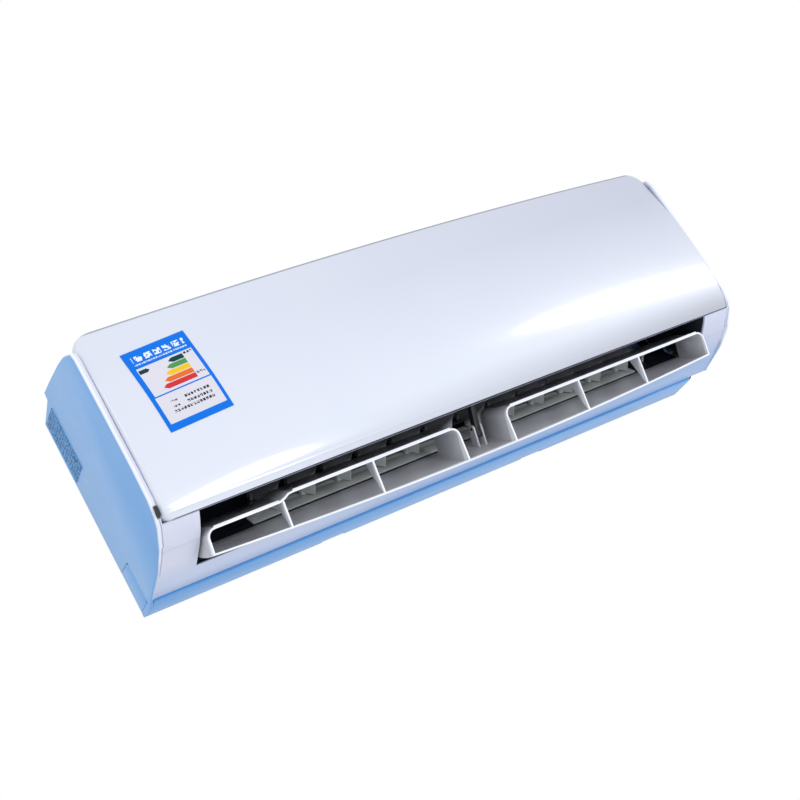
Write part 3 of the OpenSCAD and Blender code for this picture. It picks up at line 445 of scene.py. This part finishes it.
# %% Front panel gloss
PANEL_WHITES = [(0.62, 0.665, 0.77), (0.655, 0.69, 0.79)]
PANEL_SHADES = [(0.335, 0.36, 0.465), (0.36, 0.38, 0.485)]
CURL_SHADE_GREY = (0.33, 0.335, 0.4)
RIM_GREY = (0.2, 0.23, 0.27)
RIGHT_PART = (-260.0, 330.0)  # rightwards from the first to the second
UPPER_PART = (60.0, 190.0)
SHADE_RIGHT, SHADE_LEFT = 0.66, 0.14  # how much of the shade the upper corners get
CURL_HEIGHTS = (37.0, 66.0)
RIM_HEIGHTS = (BODY_H - 2.2, BODY_H - 1.2)


def panel_finish():
    finish = Finish("panel_gloss_white", Coat_Weight=0.7, Coat_Roughness=0.07)
    tint = finish.noise(90.0)
    height = finish.height()
    right = finish.x.rise(*RIGHT_PART)
    upper = height.rise(*UPPER_PART)
    # Painted shade towards the top and the right end.
    shade = right * upper * SHADE_RIGHT + (1.0 - right) * upper * SHADE_LEFT
    white = finish.blend(tint, *PANEL_WHITES)
    shell = finish.blend(shade, white, finish.blend(tint, *PANEL_SHADES))
    # Painted shade along the foot, where it curls under.
    curl_shade = (1.0 - height.rise(*CURL_HEIGHTS)) * (right * 0.75 + 0.02)
    shell = finish.blend(curl_shade, shell, CURL_SHADE_GREY)
    # A darker line painted along the top edge.
    rim = height.rise(*RIM_HEIGHTS) * 0.8
    finish.feed("Base Color", finish.blend(rim, shell, RIM_GREY))
    finish.gloss(30.0, detail=4.0, rough=0.2, spread=0.06)
    finish.grain(14.0, depth=0.02)
    return finish


FINISH["panel"] = panel_finish()
print("panel nodes:", len(FINISH["panel"].tree.nodes))

# %% [markdown]
# The louver is the same white as the panel, but its blades and ribs are seen from below
# in their own shade, and that shade is painted grey on their faces, while the front edges
# keep the white. A mix over the distance behind those edges, measured square to the
# louver's slope, gives crisp white lines on faces painted grey as shade. The vanes behind
# it are grey, and their upper ends are lost in the shade of the air path, so they darken with
# the height.

# %% Louver and vanes
LOUVER_AT = (-80.0, 28.0)  # the pivot's depth and height
LOUVER_SLOPE = math.radians(27.6)
LOUVER_REACH = 33.0  # from the pivot to the front edges, square to the slope
# Behind the front edges the white turns into painted shade.
EDGE_DEPTHS = (3.2, 5.5)  # behind the front edges, white turns into grey here
EDGE_WHITES = [(0.78, 0.81, 0.88), (0.82, 0.85, 0.91)]
BLADE_SHADE_GREYS = [(0.52, 0.53, 0.58), (0.56, 0.57, 0.62)]
VANE_GREYS = [(0.52, 0.56, 0.56), (0.6, 0.64, 0.64)]
VANE_SHADE = (0.085, 0.087, 0.1)
SHADE_HEIGHTS = (45.0, 50.0)


def louver_finish():
    finish = Finish("louver_white", Coat_Weight=0.35, Coat_Roughness=0.12)
    off_y = finish.y - LOUVER_AT[0]
    off_z = finish.z + (HANG - LOUVER_AT[1])
    along = off_y * math.cos(LOUVER_SLOPE) + off_z * math.sin(LOUVER_SLOPE)
    behind = along + LOUVER_REACH
    tint = finish.noise(40.0, detail=3.0)
    edge = finish.blend(tint, *EDGE_WHITES)
    shaded_face = finish.blend(tint, *BLADE_SHADE_GREYS)
    # Painted shade on the faces behind the front edges.
    finish.feed("Base Color", finish.blend(behind.rise(*EDGE_DEPTHS), edge, shaded_face))
    finish.gloss(HANDLED_SIZE, detail=4.0, rough=0.26, spread=0.1)
    finish.grain(0.4, depth=0.01)
    return finish


def vane_finish():
    finish = Finish("vane_grey")
    grey = finish.blend(finish.noise(30.0, detail=3.0), *VANE_GREYS)
    shade = finish.height().rise(*SHADE_HEIGHTS)
    finish.feed("Base Color", finish.blend(shade, grey, VANE_SHADE))
    finish.gloss(HANDLED_SIZE, detail=4.0, rough=0.4, spread=UNEVEN)
    finish.grain(0.4, depth=0.015)
    return finish


FINISH["louver_white"] = louver_finish()
FINISH["vane_grey"] = vane_finish()
print("louver slope", round(math.degrees(LOUVER_SLOPE), 1), "degrees")

# %% [markdown]
# Metals. Bare aluminium fins, zinc-plated steel, copper and brass differ in colour
# and in how their surface breaks up: fins are fine stripes, zinc has flat crystals,
# copper and brass have dull stains. Metallic stays at 1, so the colour is that of the
# reflection. The pipe ends, low at the right, lie in shade, and that shade is painted nearly
# black.

# %% Marks on metal
FIN_PITCH = 1.6  # millimetres
CRYSTALS_PER_METRE = 160.0
STAIN_SIZE = 9.0  # millimetres


def fin_stripes(finish):
    return (finish.x * (2 * math.pi / FIN_PITCH)).math("SINE") * 0.5 + 0.5


def zinc_crystals(finish):
    sockets = {"Vector": finish.here, "Scale": CRYSTALS_PER_METRE}
    return finish.here.node("ShaderNodeTexVoronoi", None, sockets, "Color")


def dull_stains(finish):
    return finish.noise(STAIN_SIZE, detail=6.0)


print("marks on metal: stripes, crystals, stains")

# %% Metals
PIPES_FROM = 296.0  # the pipe ends lie right of this
PIPES_TOP = (95.0, 110.0)  # and their painted shade ends between these heights
# How strong and how dark the painted shade on the pipe ends is.
PIPE_END_SHADE, PIPE_END_SHADE_DARK = 0.85, 0.12
# Each has its material's name, light and dark colour, roughness, marks and their depth.
METALS = {
    "fins": ("fin_aluminium", (0.8, 0.82, 0.85), (0.3, 0.32, 0.35), 0.3, fin_stripes, 0.3),
    "steel": (
        "zinc_plated_steel", (0.7, 0.72, 0.75), (0.5, 0.52, 0.55), 0.3, zinc_crystals, 0.01,
    ),
    "motor_can": (
        "motor_can_steel", (0.55, 0.57, 0.6), (0.4, 0.42, 0.45), 0.3, zinc_crystals, 0.02,
    ),
    "copper": ("bare_copper", (0.72, 0.36, 0.2), (0.42, 0.2, 0.12), 0.22, dull_stains, 0.02),
    "brass": ("turned_brass", (0.75, 0.55, 0.24), (0.5, 0.36, 0.15), 0.2, dull_stains, 0.02),
}


def metal(name, light, dark, rough, mark, depth):
    """A metal whose colour, gloss and bumps follow mark, one of the functions above."""
    finish = Finish(name, Metallic=1.0)
    stain = mark(finish)
    # Painted shade: the pipe ends low at the right are painted nearly black.
    pipe_end_shade = (finish.x > PIPES_FROM) * (1.0 - finish.height().rise(*PIPES_TOP))
    black = tuple(c * PIPE_END_SHADE_DARK for c in dark)
    clean = finish.blend(stain, dark, light)
    finish.feed("Base Color", finish.blend(pipe_end_shade * PIPE_END_SHADE, clean, black))
    finish.feed("Roughness", stain * 0.15 + rough)
    finish.bump(stain, depth)
    return finish


for slot, values in METALS.items():
    FINISH[slot] = metal(*values)
print("metals:", len(METALS))

# %% [markdown]
# The filter is a net in a moulded frame. Modelling thousands of threads would be
# wasteful, so the net is a pattern in the material: two sets of stripes are crossed,
# and what lies between the threads is lower and duller. The circuit board is made the
# same way: rows of paler track, broken up by noise, on dark green lacquer.

# %% Filter net and circuit board
NET_PITCH, NET_THREAD = 1.5, 0.34  # millimetres, and the thread's share of the pitch
NET_BLUES = [(0.13, 0.17, 0.21), (0.2, 0.24, 0.28)]
TRACK_PITCH, TRACK_GAP = 3.0, 0.72
BOARD_GREEN, TRACK_GREEN = (0.01, 0.1, 0.04), (0.03, 0.2, 0.08)


def net_finish():
    finish = Finish("filter_net")
    hole = (finish.x.repeat(NET_PITCH) > NET_THREAD) * (finish.z.repeat(NET_PITCH) > NET_THREAD)
    finish.feed("Base Color", finish.blend(finish.noise(25.0), *NET_BLUES))
    finish.feed("Roughness", hole * 0.2 + 0.5)
    finish.bump(1.0 - hole, 0.2)
    return finish


def circuit_finish():
    finish = Finish("circuit_board")
    row = finish.z.repeat(TRACK_PITCH) > TRACK_GAP
    track = row * (finish.noise(5.0, 0.0) > 0.5)
    finish.feed("Base Color", finish.blend(track, BOARD_GREEN, TRACK_GREEN))
    finish.feed("Roughness", row * 0.1 + 0.25)
    finish.bump(track, 0.05)
    return finish


FINISH["filter_net"] = net_finish()
FINISH["circuit"] = circuit_finish()
print("finishes so far:", len(FINISH))

# %% [markdown]
# The printed stickers. The front one is a blue card with two pale fields: a short green
# arrow, five bars that grow longer from green to red, and rows of small ragged marks. The
# card sits a little askew, so its own across and down are worked out first, each from 0
# to 1. Every shape is then a mask on those two, and so the print is sharp at any
# distance. A row of marks is a stretch of noise cut at one level.

# %% Front sticker's layout
CARD_MID = (-292.6, 155.1)
CARD_SIZE = (66.8, 90.0)
CARD_TURN = math.radians(4.0)
CARD_BLUE = (0.001, 0.15, 0.68)
CARD_PALE = (0.62, 0.62, 0.7)
TITLE_PALE = (0.7, 0.78, 0.85)
INK_BLACK = (0.03, 0.03, 0.045)
FIELDS = [(0.075, 0.945, 0.222, 0.588), (0.06, 0.95, 0.604, 0.922)]  # left, right, top, foot
TITLE, TITLE_LINE = (0.1, 0.92, 0.075, 0.145), (0.1, 0.92, 0.168, 0.186)
INK_ROWS = [
    (0.8, 0.93, 0.236, 0.262), (0.8, 0.93, 0.5, 0.526),
    (0.45, 0.845, 0.685, 0.715), (0.44, 0.845, 0.745, 0.775), (0.2, 0.845, 0.801, 0.831),
    (0.23, 0.33, 0.69, 0.71), (0.23, 0.33, 0.753, 0.773),
]
BAR_COLOURS = [
    (0.004, 0.045, 0.05), (0.07, 0.27, 0.08), (0.75, 0.48, 0.02),
    (0.7, 0.14, 0.02), (0.55, 0.03, 0.035),
]
BAR_FIRST, BAR_PITCH, BAR_HALF = 0.272, 0.065, 0.0285  # down the card
BAR_TIP, BAR_GROWTH, BAR_POINT, BAR_END = 0.537, 0.069, 2.2, 0.78  # across the card
ARROW_ROW, ARROW_HALF, ARROW_POINT = 0.273, 0.024, 1.6
ARROW_FROM, ARROW_TIP = 0.085, 0.245
print("bars:", len(BAR_COLOURS), "rows of marks:", len(INK_ROWS) + 2)


# %% Front sticker
def box_mask(u, v, left, right, top, foot):
    return band(u, left, right) * band(v, top, foot)


def masks(u, v, boxes):
    """All the boxes of a list as one mask."""
    total = box_mask(u, v, *boxes[0])
    for box in boxes[1:]:
        total = total + box_mask(u, v, *box)
    return total


MARK_SHARE, MARK_LEVEL = 0.74, 0.43


def marks(finish, u, count, size):
    """A row of count ragged marks over the width of a card."""
    blots = finish.noise(size, detail=1.0) > MARK_LEVEL
    return ((u * count).math("FRACT") < MARK_SHARE) * blots


def arrow_mask(u, v):
    off = abs(v - ARROW_ROW)
    return (u > ARROW_FROM) * (off * ARROW_POINT + u < ARROW_TIP) * (off < ARROW_HALF)


def bar_mask(u, v, k):
    """Bar k, counted from the top, with its pointed end at the left."""
    off = abs(v - (BAR_FIRST + BAR_PITCH * k))
    tip = off * BAR_POINT + (BAR_TIP - BAR_GROWTH * k)
    return (u > tip) * (u < BAR_END) * (off < BAR_HALF)


def front_sticker_finish():
    finish = Finish("front_sticker_print", Specular_IOR_Level=0.12)
    off_x = finish.x - CARD_MID[0]
    off_z = finish.z + (HANG - CARD_MID[1])
    c, s = math.cos(CARD_TURN), math.sin(CARD_TURN)
    u = (off_x * c + off_z * s) / CARD_SIZE[0] + 0.5
    v = (off_x * s - off_z * c) / CARD_SIZE[1] + 0.5
    colour = finish.blend(masks(u, v, FIELDS), CARD_BLUE, CARD_PALE)
    title = box_mask(u, v, *TITLE) * marks(finish, u, count=6.8, size=2.6)
    line = box_mask(u, v, *TITLE_LINE) * marks(finish, u, count=26.0, size=1.2)
    colour = finish.blend(title + line, colour, TITLE_PALE)
    colour = finish.blend(arrow_mask(u, v), colour, BAR_COLOURS[0])
    for k, shade in enumerate(BAR_COLOURS):
        colour = finish.blend(bar_mask(u, v, k), colour, shade)
    ink = masks(u, v, INK_ROWS) * marks(finish, u, count=20.0, size=1.6)
    finish.feed("Base Color", finish.blend(ink, colour, INK_BLACK))
    finish.gloss(6.0, detail=2.0, rough=0.3, spread=0.1)
    finish.grain(2.0, depth=0.01)
    return finish


FINISH["panel_sticker"] = front_sticker_finish()
print("front sticker nodes:", len(FINISH["panel_sticker"].tree.nodes))

# %% [markdown]
# The sticker on the left side is a small blue one, close to the blue light painted on
# the casing's side, with rows of darker marks and one little block. Its rows are stripes
# over the height, broken up by noise, since at its size the eye only sees that something is
# printed.

# %% Side sticker
SIDE_CARD_FOOT = 148.0
SIDE_BLUE_CARD = [(0.07, 0.26, 0.54), (0.1, 0.31, 0.62)]
SIDE_INK = (0.015, 0.07, 0.2)
SIDE_ROW_PITCH = 3.7
SIDE_BLOCK = (27.5, 31.5, 9.0, 16.0)  # from and to, in depth and in height
SIDE_MARGIN = 5.0  # no marks nearer the wall than this


def side_sticker_finish():
    finish = Finish("side_sticker_print", Specular_IOR_Level=0.2)
    height = finish.z + (HANG - SIDE_CARD_FOOT)
    deep = finish.depth()
    row = height.repeat(SIDE_ROW_PITCH) < 0.72
    ink = row * (finish.noise(2.8, detail=1.0) > 0.46) * (deep > SIDE_MARGIN) * 0.85
    ink = ink + box_mask(deep, height, *SIDE_BLOCK)
    card = finish.blend(finish.noise(16.0), *SIDE_BLUE_CARD)
    finish.feed("Base Color", finish.blend(ink.clamp(), card, SIDE_INK))
    finish.gloss(5.0, detail=2.0, rough=0.4, spread=0.1)
    finish.grain(2.0, depth=0.01)
    return finish


FINISH["side_sticker"] = side_sticker_finish()
print("finishes of the unit:", len(FINISH))

# %% [markdown]
# From a shape to a piece. Each shape made here is a bmesh in metres, and it has to
# become a mesh, get its finish, ride the body that carries it in the frame, and stand
# in for the solid of the frame. That is the same for all, so one helper does it. It
# shades the faces smoothly and keeps the sharp edges sharp.

# %% Handing a piece over
SMOOTH_ANGLE = math.radians(35.0)
SLOT_OF = {part["node"]: part["material_slot"] for part in frame["record"]["subparts"]}
BODY_OF = {
    member: body
    for body, members in frame["record"]["behaviour"]["bodies"].items()
    for member in members
}


def hand_over(bm, name, slot, body, node):
    """Turn a bmesh in metres into a piece that rides a body and stands for a node."""
    mesh = bpy.data.meshes.new(name)
    bm.to_mesh(mesh)
    bm.free()
    mesh.shade_smooth()
    mesh.set_sharp_from_angle(angle=SMOOTH_ANGLE)
    piece = bpy.data.objects.new(name, mesh)
    bpy.context.scene.collection.objects.link(piece)
    mesh.materials.append(FINISH[slot].made)
    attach(piece, body)
    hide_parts(node)
    return piece


print("nodes with a body:", len(BODY_OF))

# %% [markdown]
# Soft edges. The solids of the frame have mathematically sharp edges, and nothing
# gives away a computer model sooner. Each one that shows is copied, its doubled
# points are merged, its flat triangles are joined to whole faces, and then every
# edge sharper than a chosen angle gets a narrow rounded bevel. The copy then stands
# for the solid. The angle matters: a curved duct wall is a row of small bends, and
# these must stay smooth and unbevelled.

# %% Rounding the edges of a copy
SOFT_ANGLE = math.radians(40.0)
FLAT_ANGLE = math.radians(0.5)
MERGE_DISTANCE = 0.00001  # metres
LIP_X, LIP_Y = 369.5, -100.0  # an edge beyond both is on a side wall's lip


def solid_copy(node):
    """A merged copy of a node's mesh with whole flat faces, as a bmesh in metres."""
    bm = bmesh.new()
    bm.from_mesh(frame["nodes"][node].data)
    bmesh.ops.remove_doubles(bm, verts=bm.verts, dist=MERGE_DISTANCE)
    bmesh.ops.dissolve_limit(bm, angle_limit=FLAT_ANGLE, verts=bm.verts, edges=bm.edges)
    return bm


def sharp_edges(bm):
    """Edges between two faces that meet at more than the soft angle."""
    pairs = [e for e in bm.edges if len(e.link_faces) == 2]
    return [e for e in pairs if e.calc_face_angle(0.0) > SOFT_ANGLE]


def round_edges(bm, edges, width, segments=2):
    bmesh.ops.bevel(
        bm, geom=edges, offset=width * MM, offset_type="OFFSET", segments=segments,
        profile=0.5, affect="EDGES", clamp_overlap=True, material=-1,
    )


def on_side_lip(edge):
    """Whether an edge is an outer front edge of the casing's side."""
    return all(abs(v.co.x) > LIP_X * MM and v.co.y < LIP_Y * MM for v in edge.verts)


def soften(node, width, lip=0.0):
    """Stand a copy with rounded edges in for a node. A lip gets a rounder edge first."""
    bm = solid_copy(node)
    before = len(bm.faces)
    if lip:
        round_edges(bm, [e for e in sharp_edges(bm) if on_side_lip(e)], lip, segments=4)
    round_edges(bm, sharp_edges(bm), width)
    piece = hand_over(bm, node + "_soft", SLOT_OF[node], BODY_OF[node], node)
    print(node, "faces", before, "->", len(piece.data.polygons))


print("edges over", round(math.degrees(SOFT_ANGLE)), "degrees will be rounded")

# %% [markdown]
# Which pieces get soft edges: all that the photograph shows, and those that come into
# view when the panel swings up. The widths are those of the real mouldings: half a
# millimetre on the casing, less on thin sheet and on small clips. The casing's side
# walls end in a lip at the front, and that has a much rounder edge of its own.

# %% Casing, louver and vanes with soft edges
SOFT_WIDTHS = {
    "rear_chassis": 0.4, "intake_grille": 0.35, "knockout_cover": 0.5, "panel_catch": 0.3,
    "louver": 0.4, "louver_arm": 0.4, "louver_bush": 0.3, "wall_plate": 0.25,
    "vane_base": 0.3, "outlet_duct": 0.3, "panel_hinge_arms": 0.4, "control_cover": 0.4,
    "emergency_button": 0.4,
}
VANES, VANE_WIDTH = 12, 0.35
FRAME_WIDTH, FRAME_LIP = 0.5, 2.2
soften("front_frame", FRAME_WIDTH, lip=FRAME_LIP)
for node, width in SOFT_WIDTHS.items():
    soften(node, width)
for k in range(VANES):
    soften("vane_%02d" % (k + 1), VANE_WIDTH)
print("softened:", 1 + len(SOFT_WIDTHS) + VANES)

# %% [markdown]
# The front panel is the face of the unit. It is one glossy shell that bulges forward
# in the middle, more at the top than at the foot, with two round top corners and
# folded sides. Its section is drawn first: a smooth curve through a few points that
# give the depth at a height. The bulge is then added over the width.

# %% Front panel's section
PANEL_FOOT = 37.3
PROFILE_KNOTS = [
    (-128, 37.3), (-135, 50), (-140, 76), (-142, 110),
    (-141, 150), (-135.5, 193), (-131.5, 219), (-128.6, 233),
]
CROWN_FOOT, CROWN_GROWTH = 3.0, 13.0  # the bulge at the foot, and what the top adds
HALVINGS = 30


def through(knots, t):
    """A smooth curve through knots: t runs from 0 to the number of spans."""
    i = min(int(t), len(knots) - 2)
    f = t - i
    a = Vector(knots[max(i - 1, 0)])
    b, c = Vector(knots[i]), Vector(knots[i + 1])
    d = Vector(knots[min(i + 2, len(knots) - 1)])
    bend = 2 * a - 5 * b + 4 * c - d
    return 0.5 * (2 * b + (c - a) * f + bend * f * f + (3 * b - a - 3 * c + d) * f ** 3)


def panel_depth(x, height):
    """Depth of the panel's outer face at a width and a height."""
    low, high = 0.0, len(PROFILE_KNOTS) - 1.0
    for _ in range(HALVINGS):
        half = (low + high) / 2
        if through(PROFILE_KNOTS, half)[1] < height:
            low = half
        else:
            high = half
    depth = through(PROFILE_KNOTS, low)[0]
    share = (height - PANEL_FOOT) / (BODY_H - PANEL_FOOT)
    return depth - (1 - (x / HALF_W) ** 2) * (CROWN_FOOT + CROWN_GROWTH * share)


print("deepest at the middle:", round(-panel_depth(0, 150), 1), "mm from the wall")

# %% [markdown]
# The panel's outline, seen from the front, is a rectangle with round corners: two wide
# ones at the top, a smaller one low at the left, and a tight one low at the right. A
# corner is the part of a circle by which the half width draws in, row by row.

# %% Front panel's outline
PANEL_HALF = 363.0
TOP_CORNER = 17.0
LOW_CORNER = {-1: 9.0, 1: 2.0}  # at the left and at the right


def arc_gap(into, radius):
    """How far a round corner has drawn in, this far into it."""
    into = min(max(into, 0.0), radius)
    return radius - math.sqrt(radius ** 2 - into ** 2)


def panel_half_width(height, side):
    """Half the panel's width at a height, narrower in the round corners."""
    low = LOW_CORNER[side]
    drawn = arc_gap(height - (BODY_H - TOP_CORNER), TOP_CORNER)
    return PANEL_HALF - drawn - arc_gap(PANEL_FOOT + low - height, low)


print("half width at the top:", round(panel_half_width(BODY_H, 1), 1), "mm")

# %% [markdown]
# The panel's grid. Its rows follow the height and its columns the width. Even spacing
# would waste faces on the flat middle, so the rows are close together at the foot's
# fold and again at the round corners, and the last columns share the rolled side edge.

# %% Rows and columns of the front panel
COLUMNS, FOOT_ROWS, ROWS = 96, 16, 70
FOOT_BAND = 12.0  # the foot's fold and its fine line are in this much height
TOP_CROWDING = 1.6
EDGE_ROLL = {-1: 4.0, 1: 1.5}  # the rounding of the left and of the right edge
EDGE_COLUMNS = 5
LINE_HEIGHT, LINE_HALF, LINE_PROUD = 42.5, 1.1, 0.45


def row_height(row):
    """Height of a row, from 0 at the foot to ROWS at the top."""
    if row <= FOOT_ROWS:
        return PANEL_FOOT + FOOT_BAND * row / FOOT_ROWS
    share = (row - FOOT_ROWS) / (ROWS - FOOT_ROWS)
    start = PANEL_FOOT + FOOT_BAND
    return start + (BODY_H - start) * (1 - (1 - share) ** TOP_CROWDING)


def column_width(t, half, roll):
    """Place across for t from -1 to 1: the last columns share the rolled edge."""
    flat = 1.0 - 2 * EDGE_COLUMNS / COLUMNS
    if abs(t) <= flat:
        return t / flat * (half - roll)
    return math.copysign(half - roll + roll * (abs(t) - flat) / (1.0 - flat), t)


def foot_line(height):
    """How far the shell stands proud along the fine line above its foot."""
    return LINE_PROUD * max(0.0, 1.0 - abs(height - LINE_HEIGHT) / LINE_HALF)


print("rows below the fold:", FOOT_ROWS, "of", ROWS)

# %% [markdown]
# Now the shell itself. A flat grid is made, and every point is moved onto the shell by
# the formulas above. Its border is then extruded once and pushed back: that is the
# folded rim, which hides the panel's thin edge from the front. A check on the faces'
# mean direction makes sure that they point outwards, away from the wall.

# %% Front panel shell
ROLL_SHARE = 0.98  # the roll stops just short of a full quarter turn
TOP_FOLD_Y = -122.0  # the top is folded back to here
FOOT_FOLD = Vector((0, 3.0, 1.4))  # the foot back and up by this
SIDE_FOLD = 5.0  # and the sides back by this
bm = bmesh.new()
bmesh.ops.create_grid(bm, x_segments=COLUMNS, y_segments=ROWS, size=1.0)
for v in bm.verts:
    side = -1 if v.co.x < 0 else 1
    roll = EDGE_ROLL[side]
    height = row_height(round((v.co.y + 1) / 2 * ROWS))
    half = panel_half_width(height, side)
    x = column_width(v.co.x, half, roll)
    fall = arc_gap((abs(x) - half + roll) * ROLL_SHARE, roll)
    v.co = place(x, panel_depth(x, height) - foot_line(height) + fall, height)
border = [e for e in bm.edges if e.is_boundary]
grown = bmesh.ops.extrude_edge_only(bm, edges=border)["geom"]
for v in grown:
    if isinstance(v, bmesh.types.BMVert):
        if v.co.z > place(0, 0, BODY_H - 1)[2]:
            v.co.y = TOP_FOLD_Y * MM
        elif v.co.z < place(0, 0, PANEL_FOOT + 1)[2]:
            v.co += FOOT_FOLD * MM
        else:
            v.co.y += SIDE_FOLD * MM
bmesh.ops.recalc_face_normals(bm, faces=bm.faces)
if sum(f.normal.y for f in bm.faces) > 0:
    bmesh.ops.reverse_faces(bm, faces=bm.faces)
panel = hand_over(bm, "front_panel_shell", "panel", "front_panel_body", "front_panel")
print("panel faces", len(panel.data.polygons))

# %% [markdown]
# A real panel has a wall of a little over two millimetres and an edge that is soft to
# the hand. Both are left to modifiers, because they then follow whatever the shell
# does: Solidify gives the wall inwards, and Bevel rounds its edges.

# %% Front panel's wall and edge
PANEL_WALL, PANEL_EDGE = 2.4, 0.7
wall = panel.modifiers.new("wall", "SOLIDIFY")
wall.thickness = PANEL_WALL * MM
wall.offset = -1.0
edge = panel.modifiers.new("edge", "BEVEL")
edge.width = PANEL_EDGE * MM
edge.segments = 3
edge.limit_method = "ANGLE"
edge.angle_limit = math.radians(45)
print("panel modifiers:", [modifier.type for modifier in panel.modifiers])

# %% [markdown]
# The nodes that stay as they are, such as the fan, the coil and its pipes, still need
# a finish of their own. Each has a slot name in the frame's record, and the slot is the
# name of a finish, so one short loop dresses them all. The floor is the last: matt
# paper, a little grey, with a coarse soft grain.

# %% Finishes of the carried-over nodes
for name, solid in frame["nodes"].items():
    solid.data.materials.clear()
    solid.data.materials.append(FINISH[SLOT_OF[name]].made)
floor_finish = moulded("floor_paper", (0.8, 0.81, 0.82), 0.7, 3.0, 0.05, 0.02)
floor_data.materials.append(floor_finish.made)
print("finishes in use:", len(FINISH) + 1)
